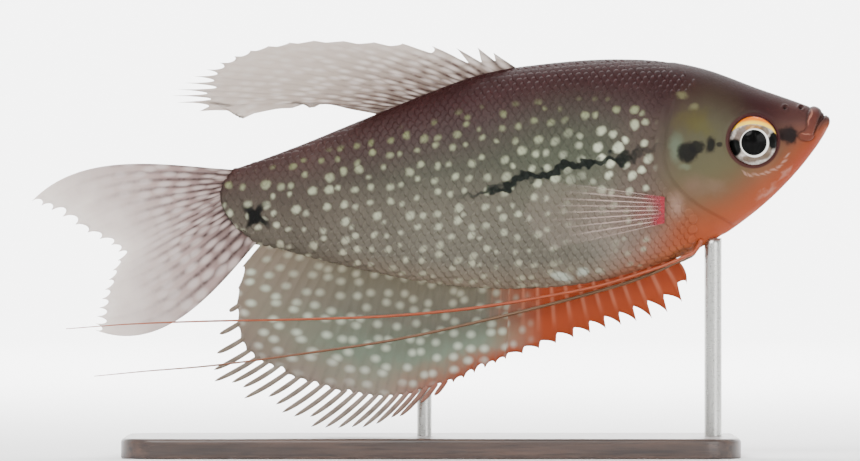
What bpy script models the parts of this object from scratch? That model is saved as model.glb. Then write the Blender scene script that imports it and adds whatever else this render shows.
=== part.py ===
"""Pearl gourami, an adult male, as a still life-size model on a display stand.

The fish heads along +X with its back up (+Z); its right side faces -Y. The origin is on the
floor under the middle of the model. Sizes are in millimetres and are turned to metres when a
mesh is made. The body is one form, a half width over the side view, parted by thin curved
seams into head, trunk and tail stalk. Each fin is a thin sheet whose rays are ridges raised
in its own surface.
"""

import math

import bmesh
import bpy
import numpy as np

MM = 0.001

# Gap kept between neighbours that touch on the real fish.
GAP = 0.3

# Body outline from the side, (X, Z) of the back and the belly, and (X, half width) from above.
BACK_LINE = (
    (-34.0, 41.9), (-29.4, 43.2), (-21.2, 46.1), (-12.1, 49.8), (-3.0, 53.5), (7.4, 57.3),
    (17.8, 59.0), (26.9, 59.6), (34.5, 59.3), (40.4, 58.2), (49.4, 55.0), (56.6, 52.5),
)
BELLY_LINE = (
    (-34.0, 33.2), (-26.3, 31.6), (-10.5, 27.7), (1.5, 25.5), (14.0, 24.9), (25.4, 26.1),
    (32.9, 28.2), (40.4, 31.1), (46.4, 34.9), (52.4, 40.0), (56.6, 44.8),
)
HALF_WIDTH = (
    (-34.0, 1.2), (-26.0, 2.0), (-12.0, 3.9), (0.0, 5.6), (12.0, 6.5), (24.0, 6.9),
    (36.0, 6.9), (43.0, 6.5), (48.0, 5.6), (52.0, 4.4), (56.6, 2.7),
)
WIDEST_SHARE = 0.53
BACK_ROUNDING = (2.3, 0.62)
BELLY_ROUNDING = (1.9, 0.72)

# Seams that part the body, as X over a section's level, -1 at the belly and +1 at the back.
GILL_SEAM_X = 34.9
GILL_SEAM_BELLY_REACH = 10.8
GILL_SEAM_BACK_REACH = 2.7
SNOUT_SEAM_X = 54.75
SNOUT_SEAM_SLANT = 1.85
STALK_SEAM_X = -13.5
STALK_SEAM_BOW = 1.5
TAIL_SEAM_X = -31.7
TAIL_SEAM_CREST = 0.25
TAIL_SEAM_BACK_REACH = 2.0
TAIL_SEAM_BELLY_REACH = 5.4

# Rings along each length of the body, and points round each ring.
HEAD_RINGS = 15
TRUNK_RINGS = 16
STALK_RINGS = 7
HEAD_AROUND = 32
TRUNK_AROUND = 28

# Eye, a flattened ball set in the side of the head.
EYE_X = 48.1
EYE_Z = 47.2
EYE_RADIUS = 3.75
EYE_DEPTH = 2.0
EYE_BULGE = 1.15
PUPIL_RADIUS = 1.8
LENS_RISE = 0.22
EYE_SIDES = 20

# Gill cover, a plate let into the side of the head along the gill seam.
COVER_LEVELS = (-0.80, 0.56)
COVER_LENGTH = 7.2
COVER_END_LENGTH = 0.9
COVER_THICKNESS = 0.85
COVER_RISE = 0.16
COVER_GRID = (11, 6)

# Nostrils, two short tubes on each side of the snout: (X, level) of each.
NOSTRIL_PLACES = ((55.0, 0.86), (52.6, 0.74))
NOSTRIL_RADIUS = 0.55
NOSTRIL_HOLE = 0.26
NOSTRIL_HEIGHT = 0.38
NOSTRIL_SIDES = 8

# Lower jaw, rings from the throat to the lip: (X, Z) at the chin, at the mouth, half width.
LOWER_JAW_RINGS = (
    ((53.35, 41.15), (54.85, 46.1), 3.3),
    ((55.40, 43.50), (56.60, 46.9), 2.75),
    ((57.10, 45.55), (57.75, 48.5), 2.15),
    ((58.45, 47.45), (58.40, 50.1), 1.75),
    ((59.15, 48.70), (58.70, 51.2), 1.75),
    ((59.60, 49.70), (59.15, 51.5), 1.45),
    ((59.80, 50.35), (59.50, 51.2), 0.80),
)
LOWER_JAW_AROUND = 16

# Upper lip, a roll over the mouth: (X, Y, Z, radius) from its left end to its top.
UPPER_LIP_HALF = (
    (55.85, 2.75, 47.90, 0.55), (56.00, 2.85, 48.60, 0.72), (56.25, 2.75, 49.60, 0.60),
    (56.85, 2.25, 50.85, 0.60), (57.50, 1.30, 51.75, 0.64), (57.75, 0.00, 52.05, 0.68),
)
UPPER_LIP_SIDES = 8

# Fins: half thickness of the sheet and of the rays, at the root, margin and free tips.
SHEET_HALF = (0.30, 0.25, 0.16)
RAY_HALF = (0.46, 0.30, 0.11)

# Dorsal fin: X of its root's ends, and its margin as (share along the fin, X, Z).
DORSAL_ROOT_X = (13.2, -7.6)
DORSAL_RAYS = 20
DORSAL_ROWS = 7
DORSAL_MARGIN = (
    (0.00, 9.8, 60.4), (0.12, 5.4, 61.2), (0.27, -3.4, 61.9), (0.45, -17.7, 62.3),
    (0.58, -26.2, 61.2), (0.68, -32.0, 58.9), (0.77, -36.4, 56.4), (0.86, -38.4, 54.6),
    (0.93, -38.9, 53.4), (1.00, -34.8, 51.7),
)
DORSAL_NOTCH = (
    (0.00, 1.5), (0.20, 1.2), (0.40, 0.6), (0.62, 0.8), (0.74, 2.4), (0.84, 3.8), (0.94, 3.8),
    (1.00, 1.0),
)
DORSAL_BOW = 1.5
DORSAL_SWAY = 1.0

# Tail fin: margin from the upper tip round the fork to the lower tip, and how far its top
# and bottom rays are drawn off a straight line, (X, Z), at a third and two thirds of it.
CAUDAL_RAYS = 16
CAUDAL_ROWS = 8
CAUDAL_MARGIN = (
    (0.00, -59.9, 38.2), (0.14, -56.4, 36.5), (0.30, -51.4, 33.4), (0.48, -46.9, 30.4),
    (0.62, -48.2, 27.0), (0.78, -49.5, 23.2), (0.90, -50.2, 20.6), (1.00, -50.4, 18.9),
)
CAUDAL_TOP_PULL = ((0.0, 2.2), (-2.6, 6.4))
CAUDAL_LOW_PULL = ((1.6, -3.3), (2.0, -8.3))
CAUDAL_NOTCH = ((0.0, 0.8), (1.0, 0.8))
CAUDAL_SWAY = 1.2

# Anal fin: X of its root's ends, margin, the length and course of its free ray tips, and
# where the spiny front part ends.
ANAL_ROOT_X = (36.6, -25.4)
ANAL_SPLIT = 0.40
ANAL_SPINES = 13
ANAL_SOFT_RAYS = 24
ANAL_ROWS = 6
ANAL_MARGIN = (
    (0.00, 38.3, 25.6), (0.035, 37.6, 22.9), (0.075, 34.9, 21.2), (0.15, 29.7, 19.9),
    (0.24, 23.4, 18.3), (0.32, 17.2, 16.4), (0.40, 11.2, 14.5), (0.52, 1.8, 10.4),
    (0.62, -5.5, 8.4), (0.74, -15.0, 9.5), (0.84, -23.5, 12.8), (0.91, -28.3, 16.0),
    (0.955, -29.4, 21.4), (1.00, -28.3, 28.4),
)
ANAL_SPINE_NOTCH = ((0.0, 2.4), (0.4, 2.0), (1.0, 0.7))
ANAL_SOFT_NOTCH = 0.9
ANAL_TIP_LENGTH = (
    (0.00, 0.2), (0.40, 0.4), (0.50, 0.6), (0.56, 3.2), (0.62, 6.0), (0.74, 6.4),
    (0.82, 6.2), (0.90, 5.4), (0.94, 2.4), (1.00, 0.6),
)
ANAL_TIP_COURSE = ((0.40, 222.0), (0.62, 226.0), (0.80, 215.0), (0.92, 205.0), (1.00, 200.0))
ANAL_SWAY = 0.5

# Pectoral fins, on the trunk just behind the gill cover: Z of the root's ends and margin.
PECTORAL_ROOT_X = 34.9
PECTORAL_ROOT_Z = (38.8, 34.9)
PECTORAL_RAYS = 9
PECTORAL_ROWS = 6
PECTORAL_MARGIN = (
    (0.00, 16.8, 41.3), (0.25, 14.4, 38.8), (0.50, 13.6, 36.4), (0.75, 14.6, 33.7),
    (1.00, 17.6, 30.9),
)
PECTORAL_NOTCH = ((0.0, 0.5), (1.0, 0.5))
PECTORAL_SPREAD = 3.4

# Pelvic feelers: (X, Y) of the root under the chest, the (X, Z) route to the tip, and how
# far out each swings, (X, distance to its own side). The left one crosses under the belly,
# ahead of the anal fin, and trails back on the right.
FEELER_ROOT = (40.0, 1.65)
RIGHT_FEELER_ROUTE = (
    (-54.6, 19.1), (-45.0, 19.8), (-34.6, 20.2), (-19.6, 20.5), (-4.6, 21.1), (7.3, 22.3),
    (18.3, 24.1), (24.8, 25.4), (30.3, 27.0), (35.8, 28.9), (39.0, 30.3),
)
LEFT_FEELER_ROUTE = (
    (-50.4, 12.0), (-42.1, 12.8), (-34.6, 13.4), (-19.6, 15.3), (-4.6, 17.6), (7.0, 20.1),
    (17.7, 22.7), (24.0, 24.4), (30.3, 26.3), (35.2, 28.3), (36.6, 29.0), (38.0, 29.5),
    (39.0, 30.0),
)
RIGHT_FEELER_SWING = (
    (-54.6, 4.4), (-30.0, 3.4), (0.0, 2.4), (20.0, 1.9), (35.0, 1.75), (40.0, 1.65),
)
LEFT_FEELER_SWING = (
    (-54.6, -3.4), (-30.0, -2.9), (0.0, -2.0), (20.0, -1.1), (30.0, -0.9), (36.4, -0.9),
    (38.0, -0.1), (39.0, 0.9), (40.0, 1.65),
)
FEELER_RADIUS = 0.30
FEELER_TIP_RADIUS = 0.09
FEELER_SIDES = 6
FEELER_LENGTHS = 30
FEELER_CROWDING = 1.35

# Stand: base plate and two rods, each rod as (X, Y, radius).
BASE_LENGTH = 92.0
BASE_WIDTH = 44.0
BASE_THICKNESS = 3.0
BASE_CORNER = 6.0
BASE_BEVEL = 0.5
FRONT_ROD = (42.3, 0.0, 1.3)
REAR_ROD = (-1.0, 2.4, 1.1)
ROD_SIDES = 16


def smooth(knots, place):
    """Read a smooth curve through (place, size) knots, a cubic between each two knots."""
    spot, size = np.array(knots, dtype=float).T
    step = np.diff(spot)
    slope = np.diff(size) / step
    inner = (slope[:-1] * step[1:] + slope[1:] * step[:-1]) / (step[:-1] + step[1:])
    lean = np.concatenate(([slope[0]], inner, [slope[-1]]))
    place = np.asarray(place, dtype=float)
    cell = np.clip(np.searchsorted(spot, place, side="right") - 1, 0, len(step) - 1)
    share = (place - spot[cell]) / step[cell]
    rise = share * share * (3.0 - 2.0 * share)
    start = share * (1.0 - share) ** 2
    end = share * share * (share - 1.0)
    level = size[cell] + (size[cell + 1] - size[cell]) * rise
    return level + step[cell] * (lean[cell] * start + lean[cell + 1] * end)


def smooth_point(knots, share):
    """Read (X, Z) of a smooth curve through (share, X, Z) knots."""
    along = smooth([(knot[0], knot[1]) for knot in knots], share)
    height = smooth([(knot[0], knot[2]) for knot in knots], share)
    return np.stack((along, height), axis=-1)


def widest_height(place):
    """Height at which the body is widest, at each X."""
    belly = smooth(BELLY_LINE, place)
    return belly + WIDEST_SHARE * (smooth(BACK_LINE, place) - belly)


def section(place, level):
    """Half width and height of the body's surface at each X and section level."""
    middle = widest_height(place)
    upper = level > 0.0
    end = np.where(upper, smooth(BACK_LINE, place), smooth(BELLY_LINE, place))
    fullness = np.where(upper, BACK_ROUNDING[0], BELLY_ROUNDING[0])
    rounding = np.where(upper, BACK_ROUNDING[1], BELLY_ROUNDING[1])
    spare = np.clip(1.0 - np.abs(level) ** fullness, 0.0, 1.0)
    return smooth(HALF_WIDTH, place) * spare ** rounding, middle + np.abs(level) * (end - middle)


def flank(place, height):
    """Half width of the body at each X and height."""
    middle = widest_height(place)
    back = (height - middle) / (smooth(BACK_LINE, place) - middle)
    belly = (height - middle) / (middle - smooth(BELLY_LINE, place))
    return section(place, np.clip(np.where(height > middle, back, belly), -1.0, 1.0))[0]


def underside(place, side):
    """Height of the belly's surface at each X and each distance to the side."""
    share = np.clip(np.abs(side) / smooth(HALF_WIDTH, place), 0.0, 1.0)
    level = -(1.0 - share ** (1.0 / BELLY_ROUNDING[1])) ** (1.0 / BELLY_ROUNDING[0])
    return section(place, level)[1]


def gill_seam(level):
    """X of the seam behind the head, curved forward to the throat and steeper where it ends."""
    reach = np.where(level < 0.0, GILL_SEAM_BELLY_REACH, GILL_SEAM_BACK_REACH)
    return GILL_SEAM_X + reach * level ** 2 * (2.4 - 1.4 * np.abs(level))


def snout_seam(level):
    """X of the slanted seam between head and jaws."""
    return SNOUT_SEAM_X + SNOUT_SEAM_SLANT * level


def stalk_seam(level):
    """X of the seam between trunk and tail stalk."""
    return STALK_SEAM_X - STALK_SEAM_BOW * (1.0 - level * level)


def tail_seam(level):
    """X of the curved end of the body, from which the tail fin grows."""
    above = (level - TAIL_SEAM_CREST) / (1.0 - TAIL_SEAM_CREST)
    below = (TAIL_SEAM_CREST - level) / (1.0 + TAIL_SEAM_CREST)
    back = TAIL_SEAM_BACK_REACH * np.clip(above, 0.0, 1.0) ** 2.0
    return TAIL_SEAM_X + back + TAIL_SEAM_BELLY_REACH * np.clip(below, 0.0, 1.0) ** 2.4


def seam_face(seam, level, side):
    """X of one face of a seam, half the gap away from it, square to its slant."""
    place = seam(level)
    height = section(place, level)[1]
    slant = np.clip(np.gradient(place, height), -2.0, 2.0)
    return place + side * GAP / 2.0 * np.hypot(1.0, slant)


def finish(name, colour, roughness, metallic=0.0):
    """Make a Principled material from an sRGB hex colour."""
    share = [int(colour[spot:spot + 2], 16) / 255.0 for spot in (1, 3, 5)]
    linear = [value / 12.92 if value < 0.04045 else ((value + 0.055) / 1.055) ** 2.4
              for value in share]
    material = bpy.data.materials.new(name)
    material.use_nodes = True
    shader = material.node_tree.nodes["Principled BSDF"]
    shader.inputs["Base Color"].default_value = (*linear, 1.0)
    shader.inputs["Roughness"].default_value = roughness
    shader.inputs["Metallic"].default_value = metallic
    return material


def make_object(name, points, faces, material=None):
    """Make an object from points in millimetres, with its faces turned outwards."""
    mesh = bpy.data.meshes.new(name)
    mesh.from_pydata((np.asarray(points, dtype=float) * MM).tolist(), [], faces)
    shape = bmesh.new()
    shape.from_mesh(mesh)
    bmesh.ops.recalc_face_normals(shape, faces=shape.faces)
    shape.to_mesh(mesh)
    shape.free()
    mesh.shade_smooth()
    mesh.set_sharp_from_angle(angle=math.radians(50.0))
    piece = bpy.data.objects.new(name, mesh)
    bpy.context.scene.collection.objects.link(piece)
    if material:
        mesh.materials.append(material)
    return piece


def keep_largest(mesh):
    """Delete all but the mesh's largest connected surface."""
    shape = bmesh.new()
    shape.from_mesh(mesh)
    shape.faces.ensure_lookup_table()
    waiting = set(shape.faces)
    islands = []
    while waiting:
        front = [waiting.pop()]
        island = set(front)
        while front:
            face = front.pop()
            near = {other for edge in face.edges for other in edge.link_faces} & waiting
            waiting -= near
            island |= near
            front.extend(near)
        islands.append(island)
    largest = max(islands, key=lambda island: sum(face.calc_area() for face in island))
    spare = [face for face in shape.faces if face not in largest]
    bmesh.ops.delete(shape, geom=spare, context="FACES")
    shape.to_mesh(mesh)
    shape.free()


def apply_boolean(piece, others, operation):
    """Join or cut a piece with other closed pieces in one step, then remove those."""
    group = bpy.data.collections.new(piece.name + "_group")
    bpy.context.scene.collection.children.link(group)
    for other in others:
        bpy.context.scene.collection.objects.unlink(other)
        group.objects.link(other)
    modifier = piece.modifiers.new(operation.lower(), "BOOLEAN")
    modifier.operation = operation
    modifier.operand_type = "COLLECTION"
    modifier.collection = group
    modifier.solver = "EXACT"
    view = bpy.context.evaluated_depsgraph_get()
    result = bpy.data.meshes.new_from_object(piece.evaluated_get(view))
    piece.modifiers.clear()
    piece.data = result
    for other in list(group.objects):
        bpy.data.objects.remove(other)
    bpy.data.collections.remove(group)
    keep_largest(result)


def tube_faces(rings, around):
    """Quads between each ring of points and the next."""
    faces = []
    for ring in range(rings - 1):
        for spot in range(around):
            after = (spot + 1) % around
            low = ring * around
            high = low + around
            faces.append((low + spot, low + after, high + after, high + spot))
    return faces


def slab(first, second):
    """Points and triangles of a closed sheet between two like grids, split alike."""
    rows, columns = first.shape[:2]
    near = np.arange(rows * columns).reshape(rows, columns)
    far = near + rows * columns
    faces = []
    for grid in (near, far):
        corners = zip(grid[:-1, :-1].flat, grid[1:, :-1].flat, grid[1:, 1:].flat, grid[:-1, 1:].flat)
        for one, two, three, four in corners:
            faces.append((int(one), int(two), int(three)))
            faces.append((int(one), int(three), int(four)))
    border = np.concatenate((near[0, :-1], near[:-1, -1], near[-1, :0:-1], near[:0:-1, 0]))
    shift = rows * columns
    for one, two in zip(border.tolist(), np.roll(border, -1).tolist()):
        faces.append((one, two, two + shift))
        faces.append((one, two + shift, one + shift))
    points = np.concatenate((first.reshape(-1, 3), second.reshape(-1, 3)))
    return points, faces


def tube(route, radius, sides, upright):
    """Points and faces of a closed tube along a route, with one radius for each point."""
    route = np.asarray(route, dtype=float)
    course = np.gradient(route, axis=0)
    course /= np.linalg.norm(course, axis=1, keepdims=True)
    across = np.cross(course, upright)
    across /= np.linalg.norm(across, axis=1, keepdims=True)
    above = np.cross(across, course)
    angle = np.arange(sides) * 2.0 * math.pi / sides
    reach = np.asarray(radius, dtype=float)[:, None, None]
    ring = across[:, None] * np.cos(angle)[None, :, None] + above[:, None] * np.sin(angle)[None, :, None]
    points = (route[:, None] + reach * ring).reshape(-1, 3)
    faces = tube_faces(len(route), sides)
    faces.append(tuple(range(sides)))
    faces.append(tuple(range(len(points) - sides, len(points))))
    return points, faces


def turned(profile, centre, axis, sides):
    """Points and faces of a shape turned about an axis: (radius, height) from pole to pole."""
    axis = np.asarray(axis, dtype=float) / np.linalg.norm(axis)
    across = np.cross(axis, (1.0, 0.0, 0.0))
    across /= np.linalg.norm(across)
    above = np.cross(axis, across)
    angle = np.arange(sides) * 2.0 * math.pi / sides
    ring = np.outer(np.cos(angle), across) + np.outer(np.sin(angle), above)
    inner = profile[1:-1]
    rings = [np.asarray(centre) + radius * ring + height * axis for radius, height in inner]
    poles = [np.asarray(centre) + height * axis for _, height in (profile[0], profile[-1])]
    points = np.concatenate(rings + [np.array(poles)])
    faces = tube_faces(len(inner), sides)
    first = len(inner) * sides
    last = first - sides
    for spot in range(sides):
        after = (spot + 1) % sides
        faces.append((first, after, spot))
        faces.append((first + 1, last + spot, last + after))
    return points, faces


def body_length(name, rear, front, rings, around, material):
    """Make a length of the body between two seam faces, each given as X over the level."""
    half = around // 2
    level = np.cos(np.linspace(0.0, math.pi, half + 1))
    share = np.linspace(0.0, 1.0, rings)[:, None]
    place = rear(level) + (front(level) - rear(level)) * share
    width, height = section(place, np.broadcast_to(level, place.shape))
    left = np.stack((place, width, height), axis=-1)
    right = left[:, -2:0:-1] * (1.0, -1.0, 1.0)
    points = np.concatenate((left, right), axis=1).reshape(-1, 3)
    faces = tube_faces(rings, around)
    for first in (0, (rings - 1) * around):
        faces.append((first, first + 1, first + around - 1))
        for spot in range(1, half - 1):
            mate = first + around - spot
            faces.append((first + spot, first + spot + 1, mate - 1, mate))
        faces.append((first + half - 1, first + half, first + half + 1))
    return make_object(name, points, faces, material)


def make_body():
    """Make the head, trunk and tail stalk with the seams between them."""
    head = body_length(
        "head", lambda level: seam_face(gill_seam, level, 1.0),
        lambda level: seam_face(snout_seam, level, -1.0),
        HEAD_RINGS, HEAD_AROUND, finish("head_skin", "#5a443c", 0.5))
    body_length(
        "trunk", lambda level: seam_face(stalk_seam, level, 1.0),
        lambda level: seam_face(gill_seam, level, -1.0),
        TRUNK_RINGS, TRUNK_AROUND, finish("trunk_skin", "#8c8074", 0.5))
    body_length(
        "tail_stalk", lambda level: seam_face(tail_seam, level, 1.0),
        lambda level: seam_face(stalk_seam, level, -1.0),
        STALK_RINGS, TRUNK_AROUND, finish("tail_stalk_skin", "#857c71", 0.5))
    return head


def eye_profile(grow):
    """Profile of the eye from its inner pole to the front of the lens, grown by a margin."""
    radius = EYE_RADIUS + grow
    depth = EYE_DEPTH + grow
    angles = np.radians((-90.0, -55.0, -20.0, 12.0, 40.0))
    profile = [(radius * math.cos(angle), depth * math.sin(angle)) for angle in angles]
    if grow:
        return profile + [(radius * 0.3, depth * 0.97), (0.0, depth)]
    rim = depth * math.sqrt(1.0 - (PUPIL_RADIUS / radius) ** 2)
    lens = ((PUPIL_RADIUS * 1.08, rim - 0.02), (PUPIL_RADIUS, rim + LENS_RISE * 0.6),
            (PUPIL_RADIUS * 0.5, depth + LENS_RISE * 0.95), (0.0, depth + LENS_RISE))
    return profile + list(lens)


def eye_centre(side):
    """Middle of the eye's ball on one side, +1 left or -1 right."""
    surface = float(flank(EYE_X, EYE_Z))
    return np.array((EYE_X, side * (surface + EYE_BULGE - EYE_DEPTH), EYE_Z))


def make_eyes():
    """Make both eyes and return the cutters that open their sockets."""
    cutters = []
    for side, name in ((1.0, "left"), (-1.0, "right")):
        axis = (0.0, side, 0.0)
        points, faces = turned(eye_profile(0.0), eye_centre(side), axis, EYE_SIDES)
        make_object("eye_" + name, points, faces, finish("eye_" + name, "#d8cfc4", 0.12))
        points, faces = turned(eye_profile(GAP), eye_centre(side), axis, EYE_SIDES)
        cutters.append(make_object("socket_" + name, points, faces))
    return cutters


def cover_block(side, grow, behind, inner, outer):
    """Closed block over the gill cover's place, between two depths from the skin."""
    rows, columns = COVER_GRID
    low, high = COVER_LEVELS
    half_height = widest_height(GILL_SEAM_X) - float(smooth(BELLY_LINE, GILL_SEAM_X))
    room = grow / half_height
    level = np.linspace(low - room, high + room, rows)[:, None]
    reach = (high - low) / 2.0 + room
    bow = np.sqrt(np.clip(1.0 - ((level - (low + high) / 2.0) / reach) ** 2, 0.0, 1.0))
    seam = seam_face(gill_seam, level[:, 0], 1.0)[:, None]
    front = seam + COVER_END_LENGTH + (COVER_LENGTH - COVER_END_LENGTH) * bow + grow
    share = np.linspace(0.0, 1.0, columns)
    place = seam - behind + (front - seam + behind) * share
    width, height = section(place, np.broadcast_to(level, place.shape))
    sheets = [np.stack((place, side * (width + depth), height), axis=-1) for depth in (outer, -inner)]
    return slab(*sheets)


def make_gill_covers():
    """Make both gill covers and return the cutters that make room for them in the head."""
    cutters = []
    for side, name in ((1.0, "left"), (-1.0, "right")):
        points, faces = cover_block(side, 0.0, 0.0, COVER_THICKNESS, COVER_RISE)
        make_object("gill_cover_" + name, points, faces,
                    finish("gill_cover_" + name, "#7a6c4e", 0.42))
        points, faces = cover_block(side, GAP, 2.5, COVER_THICKNESS + GAP, 3.0)
        cutters.append(make_object("cover_room_" + name, points, faces))
    return cutters


def make_nostrils():
    """Make the nostril tubes, rooted in the snout, ready to be joined to the head."""
    tubes = []
    profile = (
        (0.0, -0.7), (NOSTRIL_RADIUS, -0.7), (NOSTRIL_RADIUS, NOSTRIL_HEIGHT * 0.5),
        (NOSTRIL_RADIUS * 0.85, NOSTRIL_HEIGHT), (NOSTRIL_HOLE, NOSTRIL_HEIGHT * 0.95),
        (NOSTRIL_HOLE * 0.8, 0.02), (0.0, -0.02),
    )
    for side in (1.0, -1.0):
        for place, level in NOSTRIL_PLACES:
            width, height = section(np.array((place, place)), np.array((level, level - 0.05)))
            lean = math.atan2(float(width[1] - width[0]), float(height[0] - height[1]))
            axis = (0.15, side * math.cos(lean), math.sin(lean))
            centre = (place, side * float(width[0]), float(height[0]))
            points, faces = turned(profile, centre, axis, NOSTRIL_SIDES)
            tubes.append(make_object("nostril", points, faces))
    return tubes


def make_jaws():
    """Make the lower jaw with its lip, and the rolled upper lip over the mouth."""
    angle = np.arange(LOWER_JAW_AROUND) * 2.0 * math.pi / LOWER_JAW_AROUND
    rings = []
    for chin, mouth, width in LOWER_JAW_RINGS:
        rise = np.cos(angle)
        fullness = np.where(rise > 0.0, 4.0, 2.0)
        side = width * np.sqrt(1.0 - np.abs(rise) ** fullness) * np.sign(np.sin(angle) + 1e-9)
        share = (rise + 1.0) / 2.0
        place = chin[0] + (mouth[0] - chin[0]) * share
        height = chin[1] + (mouth[1] - chin[1]) * share
        rings.append(np.stack((place, side, height), axis=-1))
    points = np.concatenate(rings)
    faces = tube_faces(len(rings), LOWER_JAW_AROUND)
    faces.append(tuple(range(LOWER_JAW_AROUND)))
    faces.append(tuple(range(len(points) - LOWER_JAW_AROUND, len(points))))
    make_object("jaw_lower", points, faces, finish("jaw_lower", "#a8603c", 0.45))

    half = np.array(UPPER_LIP_HALF)
    mirrored = half[-2::-1] * (1.0, -1.0, 1.0, 1.0)
    whole = np.concatenate((half, mirrored))
    points, faces = tube(whole[:, :3], whole[:, 3], UPPER_LIP_SIDES, (1.0, 0.0, 0.0))
    make_object("lip_upper", points, faces, finish("lip_upper", "#5e3d38", 0.42))


def fin_columns(rays, narrow):
    """Columns across a fin, as (share, kind): rays, their shoulders and the sheet between."""
    columns = []
    step = 1.0 / (rays - 1)
    for ray in range(rays):
        centre = ray * step
        if ray > 0 and narrow:
            columns.append((centre - 0.2 * step, "shoulder"))
        columns.append((centre, "ray"))
        if ray < rays - 1:
            if narrow:
                columns.append((centre + 0.2 * step, "shoulder"))
            columns.append((centre + 0.5 * step, "sheet"))
    return columns


def fin_grid(columns, rows, root, margin, bow, tip):
    """Grid of (X, Z) points over a fin, and how far along its ray each one is.

    Each column is a cubic curve from its root to the margin, drawn off the straight line at a
    third and two thirds of it; its last point stands off the margin by the tip's length, along
    the tip's course.
    """
    count = len(columns)
    share = np.array([column[0] for column in columns])
    start = root(share)
    end = margin(share)
    pulls = bow(share)
    near = start + (end - start) / 3.0 + pulls[0]
    far = start + (end - start) * 2.0 / 3.0 + pulls[1]
    length = np.linalg.norm(end - start, axis=1)
    course, reach, notch = tip(share, columns, end - far)
    stop = 1.0 - (notch + 0.5) / length
    along = np.linspace(0.0, 1.0, rows)[:, None] * stop[None, :]
    along = along[..., None]
    left = 1.0 - along
    grid = left ** 3 * start + 3.0 * left * along * (left * near + along * far) + along ** 3 * end
    last = end + course * reach[:, None]
    grid = np.concatenate((grid, last[None]))
    travel = np.concatenate((along[..., 0], np.ones((1, count))))
    return grid, travel


def fin_thickness(columns, travel):
    """Half thickness over a fin: rays stand up from the sheet and thin to their tips."""
    ray = np.array([column[1] == "ray" for column in columns])
    root = np.where(ray, RAY_HALF[0], SHEET_HALF[0])
    edge = np.where(ray, RAY_HALF[1], SHEET_HALF[1])
    half = root + (edge - root) * travel
    half[-1] = np.where(ray, RAY_HALF[2], SHEET_HALF[2])
    return half


def no_bow(share):
    """Pulls of a fin whose rays are straight."""
    straight = np.zeros((len(share), 2))
    return straight, straight


def straight_tips(notch):
    """Tip rule of a plain fin: rays end on the margin and the sheet stops short of it.

    The notch, how far it stops short, is given by (share, size) knots.
    """
    def rule(share, columns, lean):
        course = lean / np.linalg.norm(lean, axis=1, keepdims=True)
        ray = np.array([column[1] == "ray" for column in columns])
        depth = smooth(notch, share)
        return course, np.where(ray, 0.0, -depth), depth
    return rule


def make_fin(name, grid, travel, columns, middle, colour):
    """Make a fin as a closed sheet about a middle surface given as Y over the grid."""
    half = fin_thickness(columns, travel)
    sheets = [np.stack((grid[..., 0], middle + side * half, grid[..., 1]), axis=-1)
              for side in (1.0, -1.0)]
    points, faces = slab(*sheets)
    make_object(name, points, faces, finish(name, colour, 0.38))


def make_dorsal_fin():
    """Make the dorsal fin, swept back from the top of the back."""
    def root(share):
        place = DORSAL_ROOT_X[0] + (DORSAL_ROOT_X[1] - DORSAL_ROOT_X[0]) * share
        return np.stack((place, smooth(BACK_LINE, place) + GAP), axis=-1)

    def bow(share):
        lift = DORSAL_BOW * np.sin(math.pi * share * 0.85)
        pull = np.stack((np.zeros_like(share), lift * 2.0 / 3.0), axis=-1)
        return pull, pull

    columns = fin_columns(DORSAL_RAYS, False)
    grid, travel = fin_grid(columns, DORSAL_ROWS, root,
                            lambda share: smooth_point(DORSAL_MARGIN, share), bow,
                            straight_tips(DORSAL_NOTCH))
    share = np.array([column[0] for column in columns])
    middle = DORSAL_SWAY * travel ** 2 * np.sin(2.0 * math.pi * share)
    make_fin("dorsal_fin", grid, travel, columns, middle, "#b9aca3")


def make_caudal_fin():
    """Make the forked tail fin, fanned out from the end of the tail stalk."""
    def root(share):
        level = 0.97 - 1.93 * share
        place = seam_face(tail_seam, level, -1.0)
        return np.stack((place, section(place, level)[1]), axis=-1)

    def bow(share):
        top = np.clip(1.0 - share / 0.45, 0.0, 1.0)[:, None] ** 1.6
        low = np.clip((share - 0.5) / 0.5, 0.0, 1.0)[:, None] ** 1.8
        return [top * np.array(high) + low * np.array(deep)
                for high, deep in zip(CAUDAL_TOP_PULL, CAUDAL_LOW_PULL)]

    columns = fin_columns(CAUDAL_RAYS, False)
    grid, travel = fin_grid(columns, CAUDAL_ROWS, root,
                            lambda share: smooth_point(CAUDAL_MARGIN, share), bow,
                            straight_tips(CAUDAL_NOTCH))
    share = np.array([column[0] for column in columns])
    middle = CAUDAL_SWAY * travel ** 2 * np.sin(1.4 * math.pi * share + 0.3)
    make_fin("caudal_fin", grid, travel, columns, middle, "#bdb2ac")


def anal_course(share):
    """Unit direction, (X, Z), of the free tips of the anal fin's rays."""
    angle = np.radians(smooth(ANAL_TIP_COURSE, share))
    return np.stack((np.cos(angle), np.sin(angle)), axis=-1)


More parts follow.
